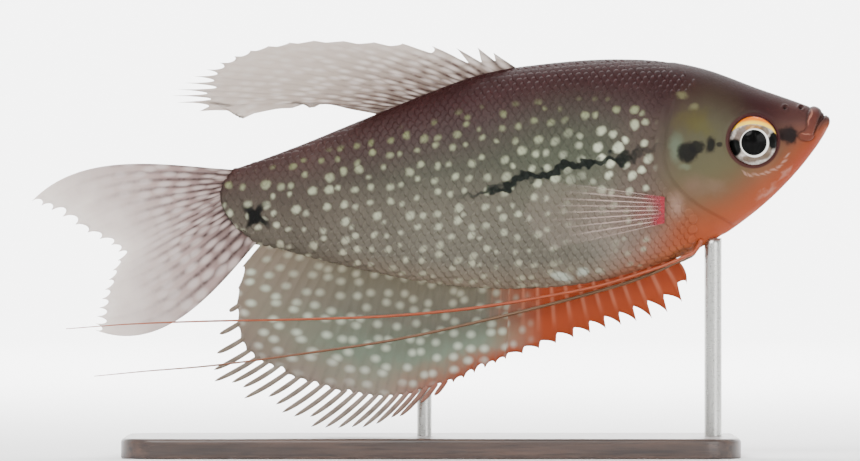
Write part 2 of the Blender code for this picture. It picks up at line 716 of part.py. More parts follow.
def make_anal_fin():
    """Make the long anal fin: its spiny front part and its soft rear part."""
    def part_of(first, last, gap):
        def root(share):
            whole = first + (last - first) * share
            place = ANAL_ROOT_X[0] + (ANAL_ROOT_X[1] - ANAL_ROOT_X[0]) * whole
            place = place - gap * (share == 0.0)
            return np.stack((place, smooth(BELLY_LINE, place) - GAP), axis=-1)

        def margin(share):
            point = smooth_point(ANAL_MARGIN, first + (last - first) * share)
            point[:, 0] -= gap * (share == 0.0)
            return point

        return root, margin

    def spine_tips(share, columns, lean):
        course = lean / np.linalg.norm(lean, axis=1, keepdims=True)
        kinds = np.array([column[1] for column in columns])
        depth = smooth(ANAL_SPINE_NOTCH, share)
        reach = np.where(kinds == "ray", 0.0, np.where(kinds == "sheet", -depth, -0.45 * depth))
        return course, reach, depth

    def soft_tips(share, columns, lean):
        whole = ANAL_SPLIT + (1.0 - ANAL_SPLIT) * share
        kinds = np.array([column[1] for column in columns])
        length = smooth(ANAL_TIP_LENGTH, whole)
        shoulder = length * 0.18 - ANAL_SOFT_NOTCH * 0.4
        reach = np.where(kinds == "ray", length,
                         np.where(kinds == "sheet", -ANAL_SOFT_NOTCH, shoulder))
        return anal_course(whole), reach, np.full(len(share), ANAL_SOFT_NOTCH)

    parts = (
        ("anal_fin_front", 0.0, ANAL_SPLIT, 0.0, ANAL_SPINES, spine_tips, "#b4623c"),
        ("anal_fin_rear", ANAL_SPLIT, 1.0, GAP, ANAL_SOFT_RAYS, soft_tips, "#9a9688"),
    )
    for name, first, last, gap, rays, tips, colour in parts:
        columns = fin_columns(rays, True)
        root, margin = part_of(first, last, gap)
        grid, travel = fin_grid(columns, ANAL_ROWS, root, margin, no_bow, tips)
        share = first + (last - first) * np.array([column[0] for column in columns])
        middle = ANAL_SWAY * travel ** 2 * np.sin(3.0 * math.pi * share)
        make_fin(name, grid, travel, columns, middle, colour)


def make_pectoral_fins():
    """Make both pectoral fins, rooted on the trunk and standing slightly off it."""
    def root(share):
        height = PECTORAL_ROOT_Z[0] + (PECTORAL_ROOT_Z[1] - PECTORAL_ROOT_Z[0]) * share
        return np.stack((np.full_like(height, PECTORAL_ROOT_X), height), axis=-1)

    columns = fin_columns(PECTORAL_RAYS, False)
    grid, travel = fin_grid(columns, PECTORAL_ROWS, root,
                            lambda share: smooth_point(PECTORAL_MARGIN, share),
                            no_bow, straight_tips(PECTORAL_NOTCH))
    rooted = flank(grid[0, :, 0], grid[0, :, 1]) + GAP + RAY_HALF[0]
    middle = rooted + PECTORAL_SPREAD * travel ** 1.2
    for side, name in ((1.0, "pectoral_fin_left"), (-1.0, "pectoral_fin_right")):
        make_fin(name, grid, travel, columns, side * middle, "#b8a59c")


def make_feelers():
    """Make both pelvic feelers, long threads that trail back from under the chest."""
    plans = (
        ("pelvic_feeler_left", 1.0, LEFT_FEELER_ROUTE, LEFT_FEELER_SWING, "#6a4a34"),
        ("pelvic_feeler_right", -1.0, RIGHT_FEELER_ROUTE, RIGHT_FEELER_SWING, "#b8602f"),
    )
    for name, side, course, swing, colour in plans:
        tip = course[0][0]
        front = course[-1][0]
        place = front + (tip - front) * np.linspace(0.0, 1.0, FEELER_LENGTHS) ** FEELER_CROWDING
        route = np.stack((place, side * smooth(swing, place), smooth(course, place)), axis=-1)
        root_x, root_y = FEELER_ROOT
        root = (root_x, side * root_y, float(underside(root_x, root_y)) - GAP)
        route = np.concatenate(([root], route))
        share = np.linspace(0.0, 1.0, len(route))
        radius = FEELER_RADIUS + (FEELER_TIP_RADIUS - FEELER_RADIUS) * share ** 4
        points, faces = tube(route, radius, FEELER_SIDES, (0.0, 1.0, 0.0))
        make_object(name, points, faces, finish(name, colour, 0.45))


def rounded_plate(inset, height):
    """Ring of points round the base's outline, inset evenly, at one height."""
    radius = BASE_CORNER - inset
    reach_x = BASE_LENGTH / 2.0 - BASE_CORNER
    reach_y = BASE_WIDTH / 2.0 - BASE_CORNER
    points = []
    for quarter in range(4):
        centre_x = reach_x if quarter in (0, 3) else -reach_x
        centre_y = reach_y if quarter in (0, 1) else -reach_y
        for step in range(7):
            angle = math.pi / 2.0 * (quarter + step / 6.0)
            points.append((centre_x + radius * math.cos(angle),
                           centre_y + radius * math.sin(angle), height))
    return np.array(points)


def make_stand():
    """Make the base plate and the two rods that reach up to the belly and the flank."""
    rings = [
        rounded_plate(0.0, 0.0), rounded_plate(0.0, BASE_THICKNESS - BASE_BEVEL),
        rounded_plate(BASE_BEVEL, BASE_THICKNESS),
    ]
    around = len(rings[0])
    points = np.concatenate(rings)
    faces = tube_faces(len(rings), around)
    faces.append(tuple(range(around)))
    faces.append(tuple(range(2 * around, 3 * around)))
    make_object("stand_base", points, faces, finish("stand_base", "#2a2624", 0.3))

    angle = np.arange(ROD_SIDES) * 2.0 * math.pi / ROD_SIDES
    for name, (place, side, radius) in (("stand_rod_front", FRONT_ROD), ("stand_rod_rear", REAR_ROD)):
        across = place + radius * np.cos(angle)
        beside = side + radius * np.sin(angle)
        foot = np.stack((across, beside, np.full(ROD_SIDES, BASE_THICKNESS + GAP)), axis=-1)
        top = np.stack((across, beside, underside(across, beside) - GAP), axis=-1)
        crown = (place, side, float(underside(place, side)) - GAP)
        points = np.concatenate((foot, top, [crown]))
        faces = tube_faces(2, ROD_SIDES)
        faces.append(tuple(range(ROD_SIDES)))
        for spot in range(ROD_SIDES):
            after = (spot + 1) % ROD_SIDES
            faces.append((ROD_SIDES + spot, ROD_SIDES + after, 2 * ROD_SIDES))
        make_object(name, points, faces, finish(name, "#c8c8c4", 0.25, 1.0))


def main():
    """Clear the scene and make the fish and its stand."""
    for old in list(bpy.data.objects):
        bpy.data.objects.remove(old, do_unlink=True)
    head = make_body()
    apply_boolean(head, make_nostrils(), "UNION")
    apply_boolean(head, make_eyes() + make_gill_covers(), "DIFFERENCE")
    make_jaws()
    make_dorsal_fin()
    make_caudal_fin()
    make_anal_fin()
    make_pectoral_fins()
    make_feelers()
    make_stand()


main()
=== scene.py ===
"""Looks of the pearl gourami: skin, scale coat, fins, eyes, feelers, stand and studio.

Sizes are in millimetres and turned to metres when a mesh is made. The fish heads along +X with
its back up and its right side towards -Y, as in the frame.
"""

import logging
import math
from dataclasses import dataclass, field
from enum import Enum

import bpy
import numpy as np
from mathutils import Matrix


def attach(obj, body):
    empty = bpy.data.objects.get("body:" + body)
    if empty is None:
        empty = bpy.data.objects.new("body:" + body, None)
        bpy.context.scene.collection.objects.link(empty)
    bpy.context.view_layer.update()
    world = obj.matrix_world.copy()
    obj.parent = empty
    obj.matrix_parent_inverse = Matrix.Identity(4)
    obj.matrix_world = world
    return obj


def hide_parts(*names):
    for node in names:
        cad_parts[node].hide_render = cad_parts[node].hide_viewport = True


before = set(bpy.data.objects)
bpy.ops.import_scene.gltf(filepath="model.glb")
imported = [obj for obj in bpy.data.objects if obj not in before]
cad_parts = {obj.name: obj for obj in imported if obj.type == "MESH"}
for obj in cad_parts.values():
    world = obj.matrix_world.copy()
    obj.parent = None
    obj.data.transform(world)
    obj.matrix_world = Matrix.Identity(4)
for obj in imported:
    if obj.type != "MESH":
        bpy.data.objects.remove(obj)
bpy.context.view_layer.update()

MM = 0.001
LOG = logging.getLogger("pearl_gourami")

Array = np.ndarray
Tree = bpy.types.NodeTree
Socket = bpy.types.NodeSocket
Material = bpy.types.Material
Piece = bpy.types.Object
Pair = tuple[float, float]
Knots = tuple[Pair, ...]
Path3 = tuple[tuple[float, float, float], ...]


class Side(Enum):
    """Side of the fish, as the sign of Y."""

    LEFT = 1.0
    RIGHT = -1.0


def smooth(knots: Knots, place: Array) -> Array:
    """Read a smooth curve through knots, a cubic between each two.

    Args:
        knots: (place, size) pairs, places rising.
        place: where to read the curve.

    Returns:
        The sizes there. Between two knots the value is a Hermite cubic whose slope at each
        knot is the mean of its two neighbours' slopes, weighed by their spacing.
    """
    spot, size = np.array(knots, dtype=float).T
    step = np.diff(spot)
    slope = np.diff(size) / step
    inner = (slope[:-1] * step[1:] + slope[1:] * step[:-1]) / (step[:-1] + step[1:])
    lean = np.concatenate(([slope[0]], inner, [slope[-1]]))
    place = np.asarray(place, dtype=float)
    cell = np.clip(np.searchsorted(spot, place, side="right") - 1, 0, len(step) - 1)
    share = (place - spot[cell]) / step[cell]
    rise = share * share * (3.0 - 2.0 * share)
    start = share * (1.0 - share) ** 2
    end = share * share * (share - 1.0)
    level = size[cell] + (size[cell + 1] - size[cell]) * rise
    return level + step[cell] * (lean[cell] * start + lean[cell + 1] * end)


def smooth_point(knots: Path3, share: Array) -> Array:
    """Read (X, Z) of a smooth curve through (share, X, Z) knots."""
    along = smooth(tuple((knot[0], knot[1]) for knot in knots), share)
    height = smooth(tuple((knot[0], knot[2]) for knot in knots), share)
    return np.stack((along, height), axis=-1)


def ease(low: float, high: float, value: Array) -> Array:
    """Rise smoothly from 0 at low to 1 at high."""
    share = np.clip((value - low) / (high - low), 0.0, 1.0)
    return share * share * (3.0 - 2.0 * share)


def bell(value: Array, width: float) -> Array:
    """Bell of height 1 round 0: e^-(value / width)^2."""
    return np.exp(-(value / width) ** 2)


def linear(colour: str) -> tuple[float, float, float, float]:
    """Turn an sRGB hex colour to linear light; two more hex digits give its alpha."""
    parts = [int(colour[spot:spot + 2], 16) / 255.0 for spot in range(1, len(colour), 2)]
    values = [part / 12.92 if part < 0.04045 else ((part + 0.055) / 1.055) ** 2.4
              for part in parts[:3]]
    return (values[0], values[1], values[2], parts[3] if len(parts) > 3 else 1.0)


def set_inputs(tree: Tree, node: bpy.types.Node, values: dict) -> None:
    """Set a node's inputs, by name or number, to numbers or to linked sockets."""
    for key, value in values.items():
        if isinstance(value, Socket):
            tree.links.new(value, node.inputs[key])
        elif value is not None:
            node.inputs[key].default_value = value


def add(tree: Tree, kind: str, *feed, out=0, named: dict | None = None, stops: tuple = (),
        **settings) -> Socket:
    """Add a node with its settings and links.

    Args:
        tree: the material's node tree.
        kind: the node's type name without its ShaderNode prefix.
        feed: values or sockets for the inputs in order, None to leave one as it is.
        out: index or name of the output to give back.
        named: values or sockets for inputs by name or index.
        stops: (place, hex colour) stops of a colour ramp.
        settings: properties of the node.

    Returns:
        The chosen output socket.
    """
    node = tree.nodes.new("ShaderNode" + kind)
    for key, value in settings.items():
        setattr(node, key, value)
    for place, colour in stops[2:]:
        node.color_ramp.elements.new(place)
    for element, (place, colour) in zip(node.color_ramp.elements if stops else (), stops):
        element.position = place
        element.color = linear(colour)
    set_inputs(tree, node, dict(enumerate(feed)))
    set_inputs(tree, node, named or {})
    return node.outputs[out]


def split(tree: Tree, vector) -> bpy.types.NodeOutputs:
    """Give a vector's three parts."""
    return add(tree, "SeparateXYZ", vector).node.outputs


def soften(tree: Tree, value, *span) -> Socket:
    """Map a value smoothly from the first two numbers to the last two, 0 and 1 if not given."""
    return add(tree, "MapRange", value, *span, interpolation_type="SMOOTHSTEP")


def multiply(tree: Tree, one, other) -> Socket:
    """Multiply two numbers."""
    return add(tree, "Math", one, other, operation="MULTIPLY")


def millimetres(tree: Tree) -> Socket:
    """Give the place on the object in millimetres."""
    place = add(tree, "TexCoord", out="Object")
    return add(tree, "VectorMath", place, operation="SCALE", named={"Scale": 1.0 / MM})


def centred_noise(tree: Tree, place, scale: float, detail: float) -> Socket:
    """Give a noise vector, moved to both sides of nothing."""
    noise = add(tree, "TexNoise", place, out="Color", named={"Scale": scale, "Detail": detail})
    return add(tree, "VectorMath", noise, (-0.5, -0.5, -0.5), operation="ADD")


def cells(tree: Tree, place, scale: float, scatter: float) -> bpy.types.NodeOutputs:
    """Give the distance to the nearest of scattered spots, and the spot's own random colour."""
    named = {"Scale": scale, "Randomness": scatter}
    made = add(tree, "TexVoronoi", place, named=named, voronoi_dimensions="2D")
    return made.node.outputs


def roughen(tree: Tree, height, strength: float, depth: float) -> Socket:
    """Give the normal of a surface roughened by so many millimetres."""
    return add(tree, "Bump", named={"Strength": strength, "Distance": depth * MM, "Height": height})


def new_material(name: str) -> tuple[Material, Tree, bpy.types.Node]:
    """Make a material and give it, its tree and its Principled node."""
    material = bpy.data.materials.new(name)
    material.use_nodes = True
    tree = material.node_tree
    return material, tree, tree.nodes["Principled BSDF"]


def blend(tree: Tree, share, first, second) -> Socket:
    """Mix two colours, sockets or hex strings, by a share."""
    colours = [linear(item) if isinstance(item, str) else item for item in (first, second)]
    return add(tree, "Mix", out=2, data_type="RGBA",
               named={0: share, 6: colours[0], 7: colours[1]})


def make_piece(name: str, points: Array, faces: Array, material: Material,
               replaces: tuple[str, ...], marks: dict | None = None,
               bake_map: Array | None = None) -> Piece:
    """Make a piece of the fish from points in millimetres and report it.

    Args:
        name: the piece's name.
        points: vertices, one row each.
        faces: vertex numbers of each face, three or four to a row.
        material: its finish.
        replaces: solids that it stands for.
        marks: named vertex attributes, vectors or single numbers.
        bake_map: (U, V) of each vertex for the OFBake map.

    Returns:
        The new object.
    """
    mesh = bpy.data.meshes.new(name)
    corners = faces.shape[1]
    mesh.vertices.add(len(points))
    mesh.vertices.foreach_set("co", (points * MM).astype(np.float32).ravel())
    mesh.loops.add(faces.size)
    mesh.loops.foreach_set("vertex_index", faces.astype(np.int32).ravel())
    mesh.polygons.add(len(faces))
    mesh.polygons.foreach_set("loop_start", np.arange(0, faces.size, corners, dtype=np.int32))
    mesh.update(calc_edges=True)
    mesh.polygons.foreach_set("use_smooth", np.ones(len(faces), dtype=bool))
    for key, values in (marks or {}).items():
        kind, store = ("FLOAT_VECTOR", "vector") if values.ndim == 2 else ("FLOAT", "value")
        mark = mesh.attributes.new(key, kind, "POINT")
        mark.data.foreach_set(store, values.astype(np.float32).ravel())
    if bake_map is not None:
        layer = mesh.uv_layers.new(name="OFBake")
        layer.data.foreach_set("uv", bake_map[faces.ravel()].astype(np.float32).ravel())
    mesh.validate()
    mesh.materials.append(material)
    piece = bpy.data.objects.new(name, mesh)
    bpy.context.scene.collection.objects.link(piece)
    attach(piece, "root")
    if replaces:
        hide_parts(*replaces)
    LOG.info("%s: %d faces", name, len(faces))
    return piece


def grid_faces(rows: int, columns: int, closed: bool = False) -> Array:
    """Quads of a grid of points, joined round if its columns close on themselves."""
    index = np.arange(rows * columns).reshape(rows, columns)
    after = np.roll(index, -1, axis=1)
    if not closed:
        index, after = index[:, :-1], after[:, :-1]
    quads = (index[:-1], after[:-1], after[1:], index[1:])
    return np.stack([quad.ravel() for quad in quads], axis=-1)


def slab(grid: Array, half: Array, across: Array) -> tuple[Array, Array]:
    """Closed thin sheet: a grid of points moved half a thickness to both sides.

    Args:
        grid: middle points, rows by columns by 3.
        half: half thickness at each.
        across: unit direction of the thickness, one or one at each point.

    Returns:
        Points and triangles, both faces split alike, with the border closed.
    """
    rows, columns = half.shape
    shift = half[..., None] * across
    points = np.concatenate(((grid + shift).reshape(-1, 3), (grid - shift).reshape(-1, 3)))
    quads = grid_faces(rows, columns)
    near = np.concatenate((quads[:, (0, 1, 2)], quads[:, (0, 2, 3)]))
    count = rows * columns
    index = np.arange(count).reshape(rows, columns)
    border = np.concatenate((index[0, :-1], index[:-1, -1], index[-1, :0:-1], index[:0:-1, 0]))
    after = np.roll(border, -1)
    wall = np.concatenate((np.stack((after, border, border + count), axis=-1),
                           np.stack((after, border + count, after + count), axis=-1)))
    return points, np.concatenate((near, near[:, ::-1] + count, wall))


def face_outward(points: Array, faces: Array, islands: int = 1) -> Array:
    """Turn closed surfaces' triangles so that each encloses a positive volume.

    Args:
        points: vertices.
        faces: triangles that already agree with each other.
        islands: how many like surfaces follow one another in the list.

    Returns:
        The triangles, turned over where their surface was inside out.
    """
    corners = points[faces]
    volume = np.einsum("ij,ij->i", corners[:, 0], np.cross(corners[:, 1], corners[:, 2]))
    total = volume.reshape(islands, -1).sum(axis=1)
    flip = np.repeat(total < 0.0, len(faces) // islands)
    return np.where(flip[:, None], faces[:, ::-1], faces)


def close_rings(rings: Array, poles: tuple) -> tuple[Array, Array]:
    """Join rings of points to a closed surface, each end by a fan to its pole.

    Args:
        rings: points, rings by places round by 3.
        poles: the end point before the first ring and the one after the last.

    Returns:
        Points, the poles last, and triangles that face outwards.
    """
    count, around = rings.shape[:2]
    quads = grid_faces(count, around, closed=True)
    spot = np.arange(around)
    after = np.roll(spot, -1)
    pole = np.full(around, count * around)
    last = (count - 1) * around
    faces = np.concatenate((
        quads[:, (0, 2, 1)], quads[:, (0, 3, 2)], np.stack((pole, spot, after), axis=-1),
        np.stack((pole + 1, last + after, last + spot), axis=-1)))
    points = np.concatenate((rings.reshape(-1, 3), poles))
    return points, face_outward(points, faces)


def tube(route: Array, radius: Array, sides: int,
         upright: tuple[float, float, float]) -> tuple[Array, Array]:
    """Closed tube: a circle of each point's radius carried square along the route.

    Args:
        route: the route's points.
        radius: the tube's radius at each.
        sides: points round the tube.
        upright: a direction never along the route.

    Returns:
        Points and triangles, the ends closed by a middle point each.
    """
    course = np.gradient(route, axis=0)
    course /= np.linalg.norm(course, axis=1, keepdims=True)
    across = np.cross(course, upright)
    across /= np.linalg.norm(across, axis=1, keepdims=True)
    above = np.cross(across, course)
    angle = np.arange(sides) * 2.0 * math.pi / sides
    ring = (across[:, None] * np.cos(angle)[None, :, None]
            + above[:, None] * np.sin(angle)[None, :, None])
    return close_rings(route[:, None] + radius[:, None, None] * ring, (route[0], route[-1]))


@dataclass(frozen=True)
class FishForm:
    """The body's outline and sections, shared by the skin, the scales and the fins."""

    back: Knots = (
        (-34.0, 41.9), (-29.4, 43.2), (-21.2, 46.1), (-12.1, 49.8), (-3.0, 53.5), (7.4, 57.3),
        (17.8, 59.0), (26.9, 59.6), (34.5, 59.3), (40.4, 58.2), (49.4, 55.0), (55.4, 52.9),
        (57.2, 52.2), (58.6, 51.5), (59.4, 50.9), (59.75, 50.35), (59.8, 50.1),
    )
    belly: Knots = (
        (-34.0, 33.2), (-26.3, 31.6), (-10.5, 27.7), (1.5, 25.5), (14.0, 24.9), (25.4, 26.1),
        (32.9, 28.2), (40.4, 31.1), (46.4, 34.9), (52.4, 40.0), (55.4, 43.25), (57.1, 45.4),
        (58.5, 47.4), (59.4, 48.95), (59.75, 49.75), (59.8, 50.0),
    )
    half_width: Knots = (
        (-34.0, 1.2), (-26.0, 2.0), (-12.0, 3.9), (0.0, 5.6), (12.0, 6.5), (24.0, 6.9),
        (36.0, 6.9), (43.0, 6.5), (48.0, 5.6), (52.0, 4.4), (56.0, 3.05), (58.0, 2.3),
        (59.2, 1.55), (59.7, 0.8), (59.8, 0.1),
    )
    widest_share: float = 0.53
    back_rounding: Pair = (2.3, 0.62)
    belly_rounding: Pair = (1.9, 0.72)
    gill_seam_x: float = 34.9
    gill_belly_reach: float = 10.8
    gill_back_reach: float = 2.7
    tail_seam_x: float = -31.7
    tail_crest: float = 0.25
    tail_back_reach: float = 2.0
    tail_belly_reach: float = 5.4
    taper_length: float = 4.0
    taper_end: float = 0.28
    eye: Pair = (48.1, 47.2)

    def section(self, place: Array, level: Array) -> tuple[Array, Array]:
        """Half width and height of the body at each X and section level.

        Args:
            place: X.
            level: -1 at the belly, 0 where the section is widest, +1 at the back.

        Returns:
            Half width w * (1 - |level|^p)^q, and height, linear in the level on each side
            of the widest line.
        """
        low = smooth(self.belly, place)
        high = smooth(self.back, place)
        middle = low + self.widest_share * (high - low)
        upper = level > 0.0
        limit = np.where(upper, high, low)
        fullness = np.where(upper, self.back_rounding[0], self.belly_rounding[0])
        rounding = np.where(upper, self.back_rounding[1], self.belly_rounding[1])
        spare = np.clip(1.0 - np.abs(level) ** fullness, 0.0, 1.0)
        behind = np.clip((place - self.tail_seam(level)) / self.taper_length, 0.0, 1.0)
        taper = self.taper_end + (1.0 - self.taper_end) * np.sqrt(behind * (2.0 - behind))
        width = smooth(self.half_width, place) * taper * spare ** rounding
        return width, middle + np.abs(level) * (limit - middle)

    def level_at(self, place: Array, height: Array) -> Array:
        """Section level of each X and height."""
        low = smooth(self.belly, place)
        high = smooth(self.back, place)
        middle = low + self.widest_share * (high - low)
        up = (height - middle) / (high - middle)
        down = (height - middle) / (middle - low)
        return np.clip(np.where(height > middle, up, down), -1.0, 1.0)

    def flank(self, place: Array, height: Array) -> Array:
        """Half width of the body at each X and height."""
        return self.section(place, self.level_at(place, height))[0]

    def underside(self, place: Array, side: Array) -> Array:
        """Height of the belly's surface at each X and distance to the side."""
        share = np.clip(np.abs(side) / smooth(self.half_width, place), 0.0, 1.0)
        fullness, rounding = self.belly_rounding
        level = -(1.0 - share ** (1.0 / rounding)) ** (1.0 / fullness)
        return self.section(place, level)[1]

    def gill_seam(self, level: Array) -> Array:
        """X of the gill cover's rear edge at each level."""
        reach = np.where(level < 0.0, self.gill_belly_reach, self.gill_back_reach)
        return self.gill_seam_x + reach * level ** 2 * (2.4 - 1.4 * np.abs(level))

    def tail_seam(self, level: Array) -> Array:
        """X of the body's rear end, from which the tail fin grows, at each level."""
        above = np.clip((level - self.tail_crest) / (1.0 - self.tail_crest), 0.0, 1.0)
        below = np.clip((self.tail_crest - level) / (1.0 + self.tail_crest), 0.0, 1.0)
        rise = self.tail_back_reach * above ** 2.0 + self.tail_belly_reach * below ** 2.4
        return self.tail_seam_x + rise


FORM = FishForm()

# Moves the right side's spots in the pattern, so that the two sides differ.
PEARL_SHIFT = 200.0


@dataclass(frozen=True)
class Mark:
    """One soft-edged mark on the body, an ellipse seen from the side."""

    colour: str
    centre: Pair
    radii: Pair
    turn: float = 0.0
    soft: float = 0.35
    strength: float = 1.0
    ragged: float = 1.0

    def share(self, tree: Tree, flat, stray) -> Socket:
        """How much of the mark shows, its edge moved by the stray vector."""
        place = add(tree, "VectorMath", stray, (self.ragged,) * 3, flat,
                    operation="MULTIPLY_ADD")
        own = add(tree, "Mapping", place, (*self.centre, 0.0),
                  (0.0, 0.0, math.radians(self.turn)), (*self.radii, 1.0), vector_type="TEXTURE")
        reach = add(tree, "VectorMath", own, out="Value", operation="LENGTH")
        return soften(tree, reach, 1.0 + self.soft, 1.0 - self.soft, 0.0, self.strength)


@dataclass(frozen=True)
class Markings:
    """The fish's colours and marks, the same on the skin and on the scales.

    Reads the piece's own attributes: lie (section level, girth in mm, mm ahead of the gill
    cover's rear edge), the painted shade in creases (0 to 1) and rim (0 to 1 at a scale's edge).
    """

    # Colours from the belly (place 0) over the widest line (0.53) to the back (1).
    tail_colours: tuple = (
        (0.0, "#514b42"), (0.35, "#474038"), (0.6, "#3e352f"), (0.8, "#3a2b27"), (1.0, "#301816"),
    )
    flank_colours: tuple = (
        (0.0, "#796d5e"), (0.12, "#5d594f"), (0.38, "#545046"), (0.55, "#3f3e35"),
        (0.75, "#342826"), (0.88, "#2c1616"), (1.0, "#260a0a"),
    )
    head_colours: tuple = (
        (0.0, "#8c3313"), (0.10, "#82391a"), (0.24, "#693f29"), (0.40, "#51402b"),
        (0.55, "#3b2c22"), (0.75, "#2a1414"), (1.0, "#200303"),
    )
    snout_colours: tuple = (
        (0.0, "#862702"), (0.30, "#78371c"), (0.50, "#60372a"), (0.70, "#462c27"), (1.0, "#331816"),
    )
    pearl_colours: tuple = (
        (0.0, "#a3a089"), (0.3, "#9da08a"), (0.55, "#959a80"), (0.8, "#6f7450"), (1.0, "#585b3e"),
    )
    pearl_spacing: float = 2.4
    marks: tuple[Mark, ...] = (
        Mark("#8a3f20", (37.0, 30.0), (17.0, 3.6), 32.0, 0.9, 0.5),
        Mark("#a8643f", (33.5, 28.0), (8.5, 1.5), 22.0, 0.9, 0.6),
        Mark("#8d8277", (28.5, 34.5), (5.0, 5.5), 0.0, 0.9, 0.4),
        Mark("#5a3a20", (37.3, 30.4), (1.9, 0.5), 30.0, 0.6, 0.55),
        Mark("#434b3b", (21.0, 44.5), (9.0, 7.0), 0.0, 0.8, 0.40),
        Mark("#4a3a37", (31.2, 42.0), (3.4, 8.0), 0.0, 0.8, 0.55),
        Mark("#4c4f39", (41.5, 45.5), (5.5, 7.5), 0.0, 0.7, 0.55),
        Mark("#473f17", (39.0, 50.3), (2.2, 1.6), 20.0, 0.9, 0.5, 3.0),
        Mark("#4a451f", (40.6, 48.9), (1.6, 1.2), -20.0, 0.9, 0.45, 3.0),
        Mark("#6b6a4b", (39.3, 52.3), (0.6, 0.5), 0.0, 0.7, 0.45),
        Mark("#6a5347", (39.4, 40.6), (1.6, 1.3), 20.0, 0.9, 0.45, 2.0),
        Mark("#6f5a4c", (42.4, 40.3), (1.3, 1.0), 0.0, 0.9, 0.4, 2.0),
        Mark("#5a6857", (36.6, 46.2), (0.9, 1.9), 0.0, 0.7, 0.5),
        Mark("#6c6b49", (37.6, 54.0), (0.8, 0.5), 0.0, 0.6, 0.5),
        Mark("#5f6b57", (37.9, 43.4), (0.9, 0.5), 0.0, 0.7, 0.45),
        Mark("#917668", (36.7, 37.6), (1.0, 1.6), 0.0, 0.8, 0.5),
        Mark("#a0796a", (50.4, 39.8), (1.5, 0.35), 38.0, 0.8, 0.45, 2.0),
        Mark("#a0796a", (53.2, 42.4), (1.1, 0.28), 48.0, 0.8, 0.45, 2.0),
        Mark("#080706", (38.3, 45.5), (1.35, 1.5), 20.0, 0.3, 0.95, 1.4),
        Mark("#080706", (39.6, 46.2), (1.1, 0.85), 0.0, 0.3, 0.9, 1.4),
        Mark("#0a0806", (41.75, 46.6), (0.80, 1.25), -12.0, 0.35, 0.95, 1.3),
        Mark("#0c0a07", (43.1, 46.6), (0.42, 0.42), 0.0, 0.4, 0.85),
        Mark("#4f251d", (57.0, 50.3), (0.75, 2.1), -14.0, 0.5, 0.7),
        Mark("#54281f", (56.2, 47.95), (1.05, 0.62), 0.0, 0.5, 0.7),
        # Painted shade: a dark patch deepening the mouth's slit at the right of the lip's stem.
        Mark("#2a0f0b", (58.6, 50.7), (0.28, 0.85), -30.0, 0.5, 0.7, 1.2),
        # Painted highlights: a pale line along the left edge of the lip's roll and one along the top of
        # its knob.
        Mark("#9a6553", (56.65, 50.8), (0.16, 1.1), -16.0, 0.5, 0.55),
        Mark("#9a6553", (56.1, 48.25), (0.6, 0.14), 0.0, 0.5, 0.5),
        Mark("#b4bdae", (19.5, 26.9), (1.45, 0.62), -12.0, 0.5, 0.8),
        Mark("#b4bdae", (22.7, 27.6), (0.85, 0.6), 0.0, 0.5, 0.75),
        Mark("#a9a894", (25.3, 27.7), (0.7, 0.5), 0.0, 0.5, 0.6),
        Mark("#0b0404", (53.5, 48.1), (1.30, 1.40), 15.0, 0.3, 0.97, 1.8),
        Mark("#160908", (52.4, 48.2), (1.1, 0.8), 0.0, 0.4, 0.85, 1.2),
        Mark("#050504", (-26.4, 36.0), (2.35, 0.50), 56.0, 0.4, 0.98, 1.2),
        Mark("#050504", (-26.2, 35.9), (2.45, 0.58), -37.0, 0.4, 0.98, 1.2),
        Mark("#050504", (-26.4, 35.7), (1.0, 0.95), 0.0, 0.4, 0.98, 1.2),
    )
    stroke_count: int = 9
    stripe: Mark = Mark("#060d09", (18.9, 42.4), (13.7, 0.74), 13.0, 0.28, 0.97)
    # Where the spots are largest and palest.
    bright: Mark = Mark("#c9cfb4", (25.5, 44.0), (8.5, 4.6), 10.0, 0.8, 0.85)
    # Radius of the dark rim round the eye.
    eye_rim: float = 4.15

    def strokes(self) -> list[Mark]:
        """Pale short strokes on a curve below and ahead of the eye."""
        made = []
        for spot in range(self.stroke_count):
            share = spot / (self.stroke_count - 1)
            angle = math.radians(-104.0 + 82.0 * share)
            reach = 4.85 + 0.85 * share
            centre = (FORM.eye[0] + reach * math.cos(angle), FORM.eye[1] + reach * math.sin(angle))
            made.append(Mark("#a57f70", centre, (0.48, 0.15), math.degrees(angle) + 62.0, 0.8, 0.55))
        return made

    def pearls(self, tree: Tree, place, level, girth, stray, glow) -> tuple:
        """Pale round spots over flank and tail stalk.

        Args:
            tree: the material's node tree.
            place: X in millimetres.
            level: section level.
            girth: mm round the body.
            stray: noise that moves the spots' edges.
            glow: how bright and large the spots are, 0 to 1.

        Returns:
            The share of the spots that shows, and their colour.
        """
        around = add(tree, "CombineXYZ", place, girth, 0.0)
        around = add(tree, "VectorMath", stray, (0.8, 0.8, 0.0), around,
                     operation="MULTIPLY_ADD")
        cell = cells(tree, around, 1.0 / self.pearl_spacing, 0.72)
        draw = split(tree, cell["Color"])
        size = add(tree, "MapRange", draw[0], 0.0, 1.0, 0.11, 0.25)
        size = add(tree, "Math", glow, 0.10, size, operation="MULTIPLY_ADD")
        inside = add(tree, "Math", cell["Distance"], size, operation="SUBTRACT")
        spot = soften(tree, inside, 0.13, -0.13)
